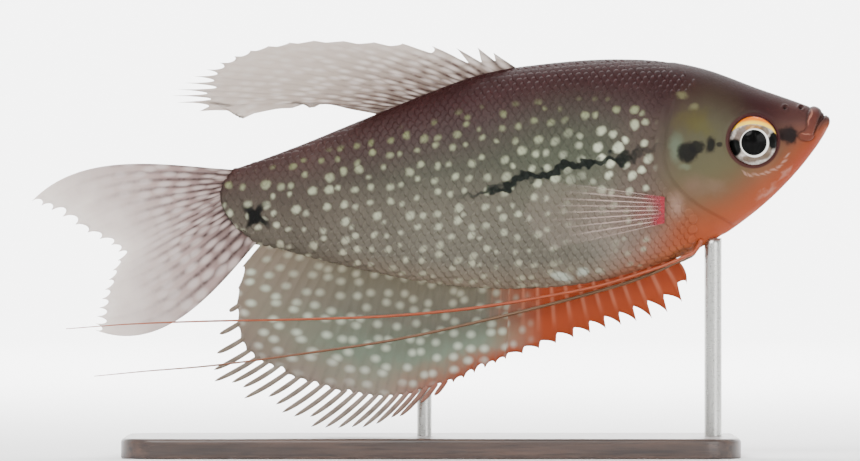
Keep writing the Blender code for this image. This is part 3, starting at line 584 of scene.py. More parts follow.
        # The spots stop below the back, lower towards the head, ahead of the gill cover's edge,
        # and above the orange breast.
        top = add(tree, "MapRange", place, -30.0, 27.0, 0.78, 0.62)
        below = add(tree, "Math", top, level, operation="SUBTRACT")
        lean = add(tree, "Math", level, 7.0, place, operation="MULTIPLY_ADD")
        low = soften(tree, lean, 20.0, 27.0)
        keep = add(tree, "Math", low, soften(tree, place, 24.0, 15.0), operation="MAXIMUM")
        bright = add(tree, "MapRange", draw[1], 0.0, 1.0, 0.62, 0.95)
        share = spot
        for part in (soften(tree, below, -0.04, 0.10), soften(tree, place, 34.2, 31.6), keep, bright):
            share = multiply(tree, share, part)
        height = add(tree, "Math", level, 0.5, 0.5, operation="MULTIPLY_ADD")
        plain = add(tree, "ValToRGB", height, stops=self.pearl_colours)
        return share, blend(tree, glow, plain, self.bright.colour)

    def colour(self, tree: Tree) -> Socket:
        """Build the colour over the whole body and give its socket."""
        lie = add(tree, "Attribute", out="Vector", attribute_name="lie")
        level, girth, _ = split(tree, lie)
        grown = millimetres(tree)
        place, _, upright = split(tree, grown)
        flat = add(tree, "CombineXYZ", place, upright, 0.0)
        # Noise of about 1.6 mm moves the marks' edges by up to 0.3 mm.
        stray = centred_noise(tree, grown, 0.62, 2.0)
        share = add(tree, "Math", level, 0.5, 0.5, operation="MULTIPLY_ADD")
        ramps = [add(tree, "ValToRGB", share, stops=stops) for stops in
                 (self.tail_colours, self.flank_colours, self.head_colours, self.snout_colours)]
        colour = ramps[0]
        for ramp, span in zip(ramps[1:], ((-24.0, 4.0), (24.0, 43.0), (49.0, 57.0))):
            colour = blend(tree, soften(tree, place, *span), colour, ramp)
        shade = add(tree, "TexNoise", grown, named={"Scale": 0.11, "Detail": 4.0})
        shade = add(tree, "MapRange", shade, 0.3, 0.7, 0.88, 1.12)
        # Partly the scales' own pale net round darker middles and partly painted light: each scale's
        # edge is made up to 12 percent lighter against the shade between the scales.
        rim = add(tree, "Attribute", out="Fac", attribute_name="rim")
        shade = add(tree, "Math", rim, 0.12, shade, operation="MULTIPLY_ADD")
        colour = add(tree, "VectorMath", colour, operation="SCALE", named={"Scale": shade})
        soft = [mark for mark in self.marks if mark.soft > 0.5] + self.strokes()
        for mark in soft:
            colour = blend(tree, mark.share(tree, flat, stray), colour, mark.colour)
        glow = self.bright.share(tree, flat, stray)
        share, pearl = self.pearls(tree, place, level, girth, stray, glow)
        colour = blend(tree, share, colour, pearl)
        for mark in self.marks:
            if mark.soft <= 0.5:
                colour = blend(tree, mark.share(tree, flat, stray), colour, mark.colour)
        colour = blend(tree, self.line(tree, flat), colour, self.stripe.colour)
        away = add(tree, "VectorMath", flat, (*FORM.eye, 0.0), out="Value", operation="DISTANCE")
        rim = soften(tree, away, self.eye_rim + 0.12, self.eye_rim - 0.15, 0.0, 0.9)
        colour = blend(tree, rim, colour, "#361617")
        # Painted shade: creases, the mouth's slit, the nostrils' holes and the gill seam are darkened
        # towards near black.
        crease_shade = add(tree, "Attribute", out="Fac", attribute_name="crease_shade")
        return blend(tree, crease_shade, colour, "#120605")

    def line(self, tree: Tree, flat) -> Socket:
        """Share of the jagged dark stripe along the flank, thick and thin by noise."""
        # Noise of about 2 mm moves the edge by up to 1 mm along the stripe and 2.6 mm across it.
        jag = add(tree, "VectorMath", centred_noise(tree, flat, 0.5, 1.5), (2.0, 5.2, 0.0),
                  operation="MULTIPLY")
        return self.stripe.share(tree, flat, jag)


@dataclass(frozen=True)
class SkinFinish:
    """Moist fish skin: a soft sheen over deep pigment, with fine pores on the head."""

    name: str = "moist_fish_skin"
    roughness: Pair = (0.46, 0.60)
    # Pores and wrinkles about 0.3 mm apart.
    pore_scale: float = 3.2
    pore_depth: float = 0.05
    markings: Markings = field(default_factory=Markings)

    def make(self) -> Material:
        """Make the skin's material."""
        material, tree, shader = new_material(self.name)
        coordinate = add(tree, "TexCoord", out="Object")
        pores = add(tree, "TexNoise", coordinate,
                    named={"Scale": self.pore_scale / MM, "Detail": 3.0})
        set_inputs(tree, shader, {
            "Base Color": self.markings.colour(tree), "IOR": 1.38, "Specular IOR Level": 0.2,
            "Roughness": add(tree, "MapRange", pores, 0.3, 0.7, *self.roughness),
            "Normal": roughen(tree, pores, 0.5, self.pore_depth)})
        return material


@dataclass(frozen=True)
class EyeFinish:
    """Silver iris with an orange crescent above, a black pupil and a clear wet front."""

    name: str = "wet_cornea_over_silver_iris"
    # Bands over the iris, as (X, Z) of a circle's middle, the radii over which the band comes
    # in, and its colour. The yellow and the orange of the crescent lie outside a circle that
    # is below the eye, the dark rim outside one about its middle, and the white ring and the
    # pupil, which are a little low and forward, inside theirs.
    bands: tuple = (
        ((-0.05, -2.36), (4.80, 4.92), "#f2c63c"),
        ((-0.05, -2.36), (5.15, 5.60), "#d86c00"),
        ((0.0, 0.0), (3.50, 3.68), "#361617"),
        ((0.22, -0.32), (2.20, 2.12), "#e9e6df"),
        ((0.12, -0.26), (1.97, 1.87), "#020202"),
    )
    marks: tuple[Mark, ...] = (
        Mark("#54443a", (-1.75, 1.05), (0.72, 1.75), -38.0, 0.25, 0.85, 0.6),
        Mark("#8d6229", (0.15, 1.85), (1.35, 0.55), 0.0, 0.3, 0.9, 0.6),
        Mark("#c9a06a", (-0.5, 1.65), (0.8, 0.22), 40.0, 0.4, 0.8, 0.6),
        Mark("#5a4b3e", (1.75, 1.55), (0.85, 0.62), -45.0, 0.25, 0.85, 0.6),
        Mark("#5a4b3e", (0.5, -2.45), (2.3, 0.62), 10.0, 0.25, 0.9, 0.6),
        Mark("#5a4b3e", (2.3, -1.4), (0.55, 1.2), -30.0, 0.3, 0.85, 0.6),
        Mark("#0a0b0a", (-2.75, -1.0), (1.0, 1.4), 12.0, 0.2, 1.0, 0.6),
        Mark("#0a0b0a", (3.05, 0.0), (0.85, 1.3), -4.0, 0.2, 1.0, 0.6),
    )

    def make(self) -> Material:
        """Make the eye's material from marks and bands about its middle."""
        material, tree, shader = new_material(self.name)
        place, _, upright = split(tree, millimetres(tree))
        flat = add(tree, "CombineXYZ", place, upright, 0.0)
        own = add(tree, "VectorMath", flat, (*FORM.eye, 0.0), operation="SUBTRACT")
        stray = centred_noise(tree, own, 0.9, 2.0)
        grain = add(tree, "TexNoise", own, named={"Scale": 3.0, "Detail": 3.0})
        colour = add(tree, "ValToRGB", grain,
                     stops=((0.3, "#8f8880"), (0.7, "#c4bdb5")))
        for mark in self.marks:
            colour = blend(tree, mark.share(tree, own, stray), colour, mark.colour)
        for centre, (low, high), hue in self.bands:
            away = add(tree, "VectorMath", own, (*centre, 0.0), out="Value",
                       operation="DISTANCE")
            colour = blend(tree, soften(tree, away, low, high), colour, hue)
        set_inputs(tree, shader, {"Base Color": colour, "Roughness": 0.3, "Specular IOR Level": 0.02,
                                  "Coat Weight": 0.12, "Coat Roughness": 0.03})
        return material


@dataclass(frozen=True)
class FinFinish:
    """Thin fin membrane: part see-through skin between darker, stiffer rays.

    Reads the fin's attribute fin: ray number, mm from the root, share from root to margin.
    Ramps run from the root (0) to the margin (1), with alpha as the last two hex digits.
    """

    name: str
    membrane: tuple
    rays: tuple
    spots: tuple
    # Spots: how many to each ray gap, mm between them along the ray, and their radius.
    spot_plan: tuple[float, float, float] = (1.0, 2.0, 0.32)
    ray_share: float = 0.30
    spot_blur: float = 0.12
    joint_range: Pair = (0.45, 1.0)
    # Where above zero, the rays' ramp runs over this many mm from the root instead.
    ray_reach: float = 0.0
    roughness: float = 0.5
    # Orange flush, as X over which it comes in, shares of the way to the margin and its
    # colour; and a rear flush, as X over which it comes in and its colour.
    orange: tuple | None = None
    dusk: tuple | None = None
    # X over which the flush along the margin comes in.
    rim_span: Pair = (-8.0, 6.0)

    def make(self) -> Material:
        """Make the fin's material."""
        material, tree, shader = new_material(self.name)
        lie = add(tree, "Attribute", out="Vector", attribute_name="fin")
        phase, away, share = split(tree, lie)
        coordinate = add(tree, "TexCoord", out="Object")
        cloud = add(tree, "TexNoise", coordinate, named={"Scale": 0.35 / MM, "Detail": 3.0})
        cloud = add(tree, "MapRange", cloud, 0.3, 0.7, -0.06, 0.06)
        moved = add(tree, "Math", share, cloud, operation="ADD")
        on_ray = moved
        if self.ray_reach:
            on_ray = add(tree, "Math", away, 1.0 / self.ray_reach, cloud,
                         operation="MULTIPLY_ADD")
        layers = []
        for stops, onward in ((self.membrane, moved), (self.rays, on_ray), (self.spots, moved)):
            ramp = add(tree, "ValToRGB", onward, stops=stops)
            layers.append((ramp, ramp.node.outputs["Alpha"]))
        gap = add(tree, "Math", phase, 1.0, operation="FLOORED_MODULO")
        gap = add(tree, "Math", gap, -0.5, operation="ADD")
        gap = add(tree, "Math", gap, operation="ABSOLUTE")
        ray = soften(tree, gap, 0.5 - self.ray_share, 0.5)
        # Rays are jointed: short darker lengths about 0.7 mm long.
        chart = add(tree, "CombineXYZ", phase, away, 0.0)
        joint = add(tree, "TexNoise", chart, named={"Scale": 1.4, "Detail": 1.0})
        joint = add(tree, "MapRange", joint, 0.35, 0.65, *self.joint_range)
        ray = multiply(tree, multiply(tree, ray, joint), layers[1][1])
        across, along, radius = self.spot_plan
        grid = add(tree, "VectorMath", chart, (across, 1.0 / along, 1.0), operation="MULTIPLY")
        away = cells(tree, grid, 1.0, 0.7)["Distance"]
        spot = soften(tree, away, radius + self.spot_blur, radius - self.spot_blur)
        spot = multiply(tree, spot, layers[2][1])
        colour, alpha = layers[0]
        streak = None
        if self.orange:
            place = split(tree, millimetres(tree))[0]
            front, edge, hue = self.orange
            rear, grey = self.dusk
            colour = blend(tree, add(tree, "MapRange", place, *rear), colour, grey)
            forward = add(tree, "MapRange", place, *front)
            rim = multiply(tree, add(tree, "MapRange", moved, *edge),
                           add(tree, "MapRange", place, *self.rim_span))
            blush = add(tree, "Math", forward, rim, operation="MAXIMUM")
            colour = blend(tree, blush, colour, hue)
            spot = multiply(tree, spot, add(tree, "MapRange", forward, 0.9, 0.2))
            alpha = add(tree, "MapRange", blush, 0.0, 0.6, alpha, 1.0)
            # Rays run pale through the orange from the root, and fade before the margin.
            streak = add(tree, "MapRange", moved, 0.75, 0.35, 0.0, 0.55)
            streak = multiply(tree, multiply(tree, streak, forward), soften(tree, gap, 0.3, 0.46))
            ray = multiply(tree, ray, add(tree, "MapRange", forward, 0.0, 1.0, 1.0, 0.15))
        colour = blend(tree, ray, colour, layers[1][0])
        if streak is not None:
            colour = blend(tree, streak, colour, "#a5674f")
        colour = blend(tree, spot, colour, layers[2][0])
        set_inputs(tree, shader, {
            "Base Color": colour, "Alpha": add(tree, "Math", ray, alpha, operation="MAXIMUM"),
            "Roughness": self.roughness, "IOR": 1.38, "Specular IOR Level": 0.2})
        return material


@dataclass(frozen=True)
class FeelerFinish:
    """Soft skin of a pelvic feeler, paler and thinner towards its tip."""

    name: str
    root: str
    tip: str
    span: Pair

    def make(self) -> Material:
        """Make the feeler's material."""
        material, tree, shader = new_material(self.name)
        coordinate = add(tree, "TexCoord", out="Object")
        share = add(tree, "MapRange", split(tree, millimetres(tree))[0], *self.span)
        # Joints of the thread about 0.8 mm apart.
        joints = add(tree, "TexNoise", coordinate, named={"Scale": 1.2 / MM, "Detail": 2.0})
        shade = add(tree, "MapRange", joints, 0.3, 0.7, 0.85, 1.12)
        colour = blend(tree, share, self.root, self.tip)
        colour = add(tree, "VectorMath", colour, operation="SCALE", named={"Scale": shade})
        set_inputs(tree, shader, {"Base Color": colour, "Roughness": 0.42,
                                  "Normal": roughen(tree, joints, 0.4, 0.05)})
        return material


@dataclass(frozen=True)
class BeechFinish:
    """Dark stained beech under satin varnish: fine grain along the plate with short flecks."""

    name: str = "dark_stained_beech_satin_varnish"
    # Grain lines about 0.8 mm apart, drawn out twenty times along X.
    grain: float = 1.2
    stretch: float = 0.05

    def make(self) -> Material:
        """Make the wood's material."""
        material, tree, shader = new_material(self.name)
        coordinate = add(tree, "TexCoord", out="Object")
        drawn = add(tree, "Mapping", coordinate,
                    named={"Scale": (self.stretch / MM, 1.0 / MM, 1.0 / MM)})
        grain = add(tree, "TexNoise", drawn, named={"Scale": self.grain, "Detail": 5.0})
        flecks = add(tree, "TexNoise", drawn, named={"Scale": self.grain * 2.6, "Detail": 2.0})
        colour = add(tree, "ValToRGB", grain,
                     stops=((0.3, "#241915"), (0.7, "#4a352b")))
        fleck = add(tree, "MapRange", flecks, 0.60, 0.68, 0.0, 0.6)
        colour = blend(tree, fleck, colour, "#1b120f")
        set_inputs(tree, shader, {
            "Base Color": colour, "Roughness": add(tree, "MapRange", grain, 0.3, 0.7, 0.38, 0.5),
            "Normal": roughen(tree, grain, 0.25, 0.05), "Coat Weight": 0.35, "Coat Roughness": 0.25})
        return material


@dataclass(frozen=True)
class SteelFinish:
    """Brushed stainless steel rod: fine marks round the rod."""

    name: str = "brushed_stainless_steel"
    # Brush marks about 0.15 mm apart along the rod.
    marks: float = 6.0

    def make(self) -> Material:
        """Make the steel's material."""
        material, tree, shader = new_material(self.name)
        coordinate = add(tree, "TexCoord", out="Object")
        drawn = add(tree, "Mapping", coordinate,
                    named={"Scale": (0.3 / MM, 0.3 / MM, 1.0 / MM)})
        brush = add(tree, "TexNoise", drawn, named={"Scale": self.marks, "Detail": 3.0})
        set_inputs(tree, shader, {
            "Base Color": blend(tree, brush, "#a9a9a5", "#cfcfcb"), "Metallic": 1.0,
            "Roughness": add(tree, "MapRange", brush, 0.3, 0.7, 0.24, 0.40)})
        return material


@dataclass
class Skin:
    """One skin over head, jaws, gill covers, trunk and tail stalk."""

    material: Material
    around: int = 240
    # The rings stand a trunk step apart from the tail to the nape, then a head step apart,
    # and close up over the tip of the snout.
    tail: float = -31.0
    nape: float = 33.0
    snout: float = 59.2
    front: float = 59.8
    trunk_step: float = 0.34
    head_step: float = 0.16
    scale_depth: float = 0.12
    # Roll of the upper lip from its knob over the snout, as (X, Z, radius); the knob and the
    # two lobes ahead of the roll, as (X, Z, radius along, radius up, rise); the mouth's line.
    lip: tuple = ((56.25, 48.0, 0.70), (56.80, 49.0, 0.66), (57.00, 50.1, 0.80),
                  (57.35, 51.1, 0.92), (57.80, 52.0, 0.90))
    lobes: tuple = ((56.16, 47.95, 1.18, 0.74, 0.40), (58.35, 51.05, 0.62, 0.66, 0.26),
                    (59.35, 50.35, 0.50, 1.00, 0.16))
    lip_rise: float = 0.42
    mouth: tuple = ((57.45, 48.5), (57.8, 49.2), (58.25, 50.0), (58.8, 50.75), (59.2, 51.35))
    nostrils: tuple = ((55.4, 0.84), (53.0, 0.74))

    def stations(self) -> Array:
        """X of the rings, closer on the head and closest at the tip of the snout."""
        trunk = np.arange(self.tail, self.nape, self.trunk_step)
        head = np.arange(self.nape, self.snout, self.head_step)
        tip = self.front - (self.front - self.snout) * (1.0 - np.linspace(0.0, 1.0, 10)) ** 2
        return np.concatenate((trunk, head, tip[:-1]))

    def route_distance(self, route: tuple, place: Array, height: Array) -> Array:
        """Distance of each point, seen from the side, from a route of straight lengths.

        Args:
            route: (X, Z) or (X, Z, radius) of its spots.
            place: X of the points.
            height: Z of the points.

        Returns:
            The least distance, divided by the route's radius there if it has one.
        """
        spots = np.array([(*spot, 1.0)[:3] for spot in route])
        best = np.full(place.shape, 1e9)
        for one, two in zip(spots[:-1], spots[1:]):
            run = (two - one)[:2]
            share = ((place - one[0]) * run[0] + (height - one[1]) * run[1]) / (run @ run)
            share = np.clip(share, 0.0, 1.0)
            away = np.hypot(place - one[0] - share * run[0], height - one[1] - share * run[1])
            best = np.minimum(best, away / (one[2] + (two[2] - one[2]) * share))
        return best

    def gill_cover(self, ahead: Array, level: Array) -> tuple[Array, Array]:
        """Rise of the gill cover along its edge, dying out forwards, and the seam behind it.

        Args:
            ahead: mm ahead of the cover's rear edge.
            level: section level.

        Returns:
            The rise, with a low second ridge behind the seam, and how deep in the seam it is.
        """
        cheek = ease(0.66, 0.44, level) * ease(-1.0, -0.9, level)
        cover = ease(-0.14, 0.12, ahead) * np.exp(-np.clip(ahead, 0.0, 40.0) / 3.4)
        seam = bell(ahead + 0.30, 0.28) * cheek
        ridge = bell(ahead + 1.25, 0.35) * ease(0.25, 0.05, level) * ease(-0.5, -0.3, level)
        return 0.20 * cheek * cover - 0.06 * seam + 0.13 * ridge, seam

    def lips(self, place: Array, height: Array) -> tuple[Array, Array]:
        """Rise of the lips, rolls of circular section.

        Args:
            place: X.
            height: Z.

        Returns:
            The rise, and the distance from the upper lip's middle in shares of its radius.
        """
        away = self.route_distance(self.lip, place, height)
        roll = self.lip_rise * np.sqrt(np.clip(1.0 - away ** 2, 0.0, 1.0))
        for number, (along, up, long, tall, swell) in enumerate(self.lobes):
            own = np.hypot((place - along) / long, (height - up) / tall)
            roll = np.maximum(roll, swell * np.sqrt(np.clip(1.0 - own ** 2, 0.0, 1.0)))
            # The first lobe, the lip's knob, is part of its edge.
            if number == 0:
                away = np.minimum(away, own)
        return roll, away

    def pores(self, place: Array, level: Array, height: Array) -> tuple:
        """Rise of the nostrils' rims with a hole in each, and how deep in a hole each point is."""
        rise = np.zeros(place.shape)
        deep = np.zeros(place.shape)
        upper = level > 0.3
        for spot, share in self.nostrils:
            centre = FORM.section(np.array(spot), np.array(share))[1]
            away = np.hypot(place - spot, height - centre)
            hole = bell(away, 0.24) * upper
            rise += 0.16 * bell(away - 0.42, 0.15) * upper - 0.30 * hole
            deep = np.maximum(deep, hole)
        return rise, deep

    def lift(self, place: Array, level: Array, height: Array) -> tuple:
        """How far the skin stands off the plain body, and how much painted shade each point gets in a
        crease.

        Args:
            place: X.
            level: section level.
            height: Z.

        Returns:
            The lift and the fold. The trunk lies lower by the scales' depth, the eye's rim is
            a low ring round a pit, and the mouth and the lip's wrinkles are narrow dips.
        """
        ahead = place - FORM.gill_seam(level)
        cover, seam = self.gill_cover(ahead, level)
        roll, from_lip = self.lips(place, height)
        rim, deep = self.pores(place, level, height)
        radius = np.hypot(place - FORM.eye[0], height - FORM.eye[1])
        socket = 0.20 * bell(radius - 4.05, 0.42) - 2.3 * ease(3.62, 3.05, radius)
        lip_edge = bell(from_lip - 1.06, 0.14)
        from_mouth = self.route_distance(self.mouth, place, height)
        slit = bell(from_mouth, 0.15)
        wrinkle = bell(from_mouth - 0.40, 0.10) * (place > 58.0)
        rise = cover + socket + roll + rim - self.scale_depth * ease(-1.0, -2.2, ahead)
        rise -= 0.10 * lip_edge + 0.26 * slit + 0.06 * wrinkle
        # Painted shade in the creases: the mouth's slit, the lip's edge and its wrinkles; the nostrils'
        # holes and the gill seam are added below.
        crease_shade = 0.75 * slit + 0.50 * lip_edge * (from_mouth > 0.1) + 0.35 * wrinkle
        return rise, np.clip(crease_shade + 0.9 * deep + 0.06 * seam, 0.0, 1.0)

    def build(self) -> Piece:
        """Build the skin: rings of the body's sections, moved out by the lift along the normal."""
        base = self.stations()
        half = self.around // 2
        level = np.cos(np.linspace(0.0, math.pi, half + 1))
        start = FORM.tail_seam(level) - base[0]
        # The rearmost rings follow the rounded end of the body.
        fade = ease(self.tail + 9.0, self.tail, base)[:, None]
        place = base[:, None] + start * fade
        levels = np.broadcast_to(level, place.shape)
        width, height = FORM.section(place, levels)
        left = np.stack((place, width, height), axis=-1)
        ring = np.concatenate((left, left[:, -2:0:-1] * (1.0, -1.0, 1.0)), axis=1)
        marks = np.concatenate((levels, levels[:, -2:0:-1]), axis=1)
        along = np.gradient(ring, axis=0)
        beside = np.roll(ring, -1, axis=1) - np.roll(ring, 1, axis=1)
        normal = np.cross(along, beside)
        normal /= np.maximum(np.linalg.norm(normal, axis=-1, keepdims=True), 1e-9)
        normal *= np.sign(np.sum(normal[..., 1] * ring[..., 1]))
        rise, crease_shade = self.lift(ring[..., 0], marks, ring[..., 2])
        skin = ring + normal * rise[..., None]
        step = np.linalg.norm(np.diff(left, axis=1), axis=-1)
        girth = np.concatenate((np.zeros((len(base), 1)), np.cumsum(step, axis=1)), axis=1)
        middle = np.array([np.interp(0.0, -level, row) for row in girth])
        girth = middle[:, None] - girth
        girth = np.concatenate((girth, girth[:, -2:0:-1] + PEARL_SHIFT), axis=1)
        points, faces = close_rings(skin, (skin[0].mean(axis=0), skin[-1].mean(axis=0)))
        ahead = ring[..., 0] - FORM.gill_seam(marks)
        lie = np.stack((marks, girth, ahead), axis=-1).reshape(-1, 3)
        lie = np.concatenate((lie, (lie[0], lie[-1])))
        crease_shade = np.concatenate((crease_shade.ravel(), (0.0, 0.0)))
        return make_piece(
            "skin", points, faces, self.material,
            ("head", "trunk", "tail_stalk", "gill_cover_left", "gill_cover_right",
             "jaw_lower", "lip_upper"), {"lie": lie, "crease_shade": crease_shade, "rim": np.zeros(len(lie))})


@dataclass
class ScaleCoat:
    """Overlapping scales on one side, from the gill cover and nape to the tail fin.

    A scale's own measures start at its middle: u runs back along the fish, v up round the body.
    """

    material: Material
    side: Side
    # Scales stand 1.12 mm apart along a row, in rows 0.93 mm apart.
    pitch: float = 1.12
    row: float = 0.93
    # How far a scale reaches ahead of its middle and behind it, and up and down.
    reach: Pair = (0.80, 0.74)
    half_height: float = 0.90
    # It climbs from its sunk front to its free rear, is a little crowned inside its border,
    # and its foot goes down into the skin.
    sunk: float = -0.09
    climb: float = 0.12
    crown: float = 0.035
    foot: float = -0.17
    border: float = 0.62
    # Spread of the scales' places and sizes, and of their slopes.
    stray: float = 0.03
    slope_stray: float = 0.012
    sectors: int = 12
    seed: int = 7
    # Rows on each side of the middle one, the X from first to last, and how far the field
    # keeps from the back and belly, the tail fin and the gill cover, the head's part aside.
    rows: int = 26
    span: Pair = (-32.0, 41.0)
    margin: float = 0.2
    tail_margin: float = 0.9
    gill_margin: float = 1.75
    nape_reach: float = 4.6
    nape_limit: float = 39.6
    # Steps of the level's table in X and girth, and levels that it is worked out from.
    place_step: float = 0.25
    girth_step: float = 0.1
    levels: int = 481

    def __post_init__(self) -> None:
        """Tabulate the section level over X and girth."""
        self.places = np.arange(-34.0, 45.0, self.place_step)
        self.girths = np.arange(-30.0, 30.01, self.girth_step)
        level = np.linspace(-1.0, 1.0, self.levels)
        every = np.broadcast_to(level, (len(self.places), self.levels))
        width, height = FORM.section(self.places[:, None], every)
        step = np.hypot(np.diff(width, axis=1), np.diff(height, axis=1))
        girth = np.concatenate((np.zeros((len(self.places), 1)), np.cumsum(step, axis=1)), axis=1)
        girth -= girth[:, self.levels // 2, None]
        self.low, self.high = girth[:, 0], girth[:, -1]
        self.table = np.array([np.interp(self.girths, row, level) for row in girth])

    def level(self, place: Array, girth: Array) -> Array:
        """Section level at each X and girth, from the table, linear between its entries."""
        column = np.clip((place - self.places[0]) / self.place_step, 0.0, len(self.places) - 1.001)
        entry = np.clip((girth - self.girths[0]) / self.girth_step, 0.0, len(self.girths) - 1.001)
        one, two = column.astype(int), entry.astype(int)
        onward, upward = column - one, entry - two
        near = self.table[one, two] * (1.0 - upward) + self.table[one, two + 1] * upward
        far = self.table[one + 1, two] * (1.0 - upward) + self.table[one + 1, two + 1] * upward
        return near * (1.0 - onward) + far * onward

    def spot(self, place: Array, girth: Array) -> Array:
        """Point of the body at each X and girth; past the back or belly it is on the far side."""
        high = np.interp(place, self.places, self.high)
        low = np.interp(place, self.places, self.low)
        over = girth > high
        under = girth < low
        turned = np.where(over, 2.0 * high - girth, np.where(under, 2.0 * low - girth, girth))
        width, height = FORM.section(place, self.level(place, turned))
        return np.stack((place, np.where(over | under, -width, width), height), axis=-1)

    def normal(self, place: Array, girth: Array, step: float = 0.08) -> Array:
        """Outward direction of the body at each X and girth."""
        along = self.spot(place + step, girth) - self.spot(place - step, girth)
        around = self.spot(place, girth + step) - self.spot(place, girth - step)
        normal = np.cross(around, along)
        return normal / np.maximum(np.linalg.norm(normal, axis=-1, keepdims=True), 1e-9)

    def roots(self) -> tuple[Array, Array]:
        """X and girth of each scale's middle: rows side by side, every other one half a step on."""
        rows = np.arange(-self.rows, self.rows + 1)
        spots = np.arange(*self.span, self.pitch)
        place = spots[None, :] + np.where(rows % 2 == 0, 0.0, self.pitch / 2.0)[:, None]
        girth = np.broadcast_to(rows[:, None] * self.row, place.shape)
        place, girth = place.ravel(), girth.ravel()
        level = self.level(place, girth)
        inside = girth < np.interp(place, self.places, self.high) - self.margin
        inside &= girth > np.interp(place, self.places, self.low) + self.margin
        inside &= place > FORM.tail_seam(level) + self.tail_margin
        # Above the gill cover the field runs on over the nape, to a wavy end.
        limit = FORM.gill_seam(level) - self.gill_margin + self.nape_reach * ease(0.52, 0.74, level)
        inside &= place < np.minimum(limit, self.nape_limit + 0.4 * np.sin(girth * 3.0))
        return place[inside], girth[inside]

    def plate(self) -> tuple[Array, Array, Array, Array]:
        """One scale: a middle point, two rings on top and one at its foot.

        Returns:
            u and v of its points, their rise over the body, and how near the edge they are.
        """
        angle = np.arange(self.sectors) * 2.0 * math.pi / self.sectors
        ahead, behind = self.reach
        ring_u = np.where(np.cos(angle) > 0.0, behind, ahead)
        ring_u = ring_u * np.sign(np.cos(angle)) * np.abs(np.cos(angle)) ** 0.85
        ring_v = self.half_height * np.sign(np.sin(angle)) * np.abs(np.sin(angle)) ** 0.9
        u = np.concatenate(((0.0,), self.border * ring_u, ring_u, ring_u))
        v = np.concatenate(((0.0,), self.border * ring_v, ring_v, ring_v))
        inner = np.full(self.sectors, 1.0)
        away = np.concatenate(((0.0,), self.border * inner, inner, inner))
        rise = self.sunk + self.climb * (u + ahead) / (ahead + behind) + self.crown * (1.0 - away ** 2)
        rise[-self.sectors:] = self.foot
        # Nearness to the edge, which the colour uses to paint the edge lighter: partly the scales' pale
        # net, partly painted light against the shade between scales.
        edge = np.concatenate(((0.0,), 0.30 * inner, inner, inner))
        return u, v, rise, edge

    def plate_faces(self) -> Array:
        """Triangles of one scale: a fan on top, two bands and a closed foot."""
        count = self.sectors
        first = 1 + np.arange(count)
        after = 1 + (np.arange(count) + 1) % count
        faces = [np.stack((np.zeros(count, dtype=int), first, after), axis=-1)]
        for ring in (0, 1):
            one, two = first + ring * count, after + ring * count
            faces.append(np.stack((one, one + count, two + count), axis=-1))
            faces.append(np.stack((one, two + count, two), axis=-1))
        bottom = 1 + 2 * count
        fan = np.arange(1, count - 1)
        faces.append(np.stack((np.full(count - 2, bottom), bottom + fan + 1, bottom + fan), axis=-1))
        return np.concatenate(faces)

    def build(self) -> Piece:
        """Build the coat: each scale a low plate, its front under the ones ahead of it."""
        place, girth = self.roots()
        draw = np.random.default_rng(self.seed)
        count = len(place)
        place = place + draw.normal(0.0, self.stray, count)
        girth = girth + draw.normal(0.0, self.stray, count)
        size = draw.normal(1.0, self.stray, count)
        slope = draw.normal(0.0, self.slope_stray, count)
        u, v, rise, edge = self.plate()
        # Scales lean up towards their rear on the body, less so on the tail stalk.
        lean = 0.10 / (1.0 + np.exp(-(place + 20.0) / 6.0))
        flat_x = (place[:, None] - size[:, None] * u).ravel()
        flat_g = (girth[:, None] + size[:, None] * v + lean[:, None] * u).ravel()
        # Along the back and the belly they lie flatter and deeper.
        ridge = ease(0.82, 0.99, np.abs(self.level(place, girth)))[:, None]
        height = rise[None, :] + slope[:, None] * (u + self.reach[0])
        height = np.where(rise > self.foot, height * (1.0 - 0.75 * ridge) - 0.10 * ridge, height)
        points = self.spot(flat_x, flat_g) + self.normal(flat_x, flat_g) * height.reshape(-1, 1)
        left = self.side is Side.LEFT
        level = self.level(flat_x, flat_g)
        lie = np.stack((level, flat_g + (0.0 if left else PEARL_SHIFT),
                        flat_x - FORM.gill_seam(level)), axis=-1)
        tile = self.plate_faces()
        faces = (tile[None] + np.arange(count)[:, None, None] * len(u)).reshape(-1, 3)
        faces = face_outward(points, faces, islands=count)
        if not left:
            points = points * (1.0, -1.0, 1.0)
            faces = faces[:, ::-1]
        # The bake map lays each scale out as a patch 0.003 across at its root's place on the
        # unrolled side, which is 82 by 55 mm, the left side in the lower half.
        chart_u = (place[:, None] + 35.0) / 82.0 + 0.0015 * u / 0.8
        chart_v = (0.25 if left else 0.75) + girth[:, None] / 110.0 + 0.0015 * v / 0.9
        chart = np.stack((chart_u.ravel(), chart_v.ravel()), axis=-1)
        marks = {"lie": lie, "crease_shade": np.zeros(len(points)), "rim": np.tile(edge, count)}
        return make_piece("scales_" + self.side.name.lower(), points, faces, self.material,
                          (), marks, chart)


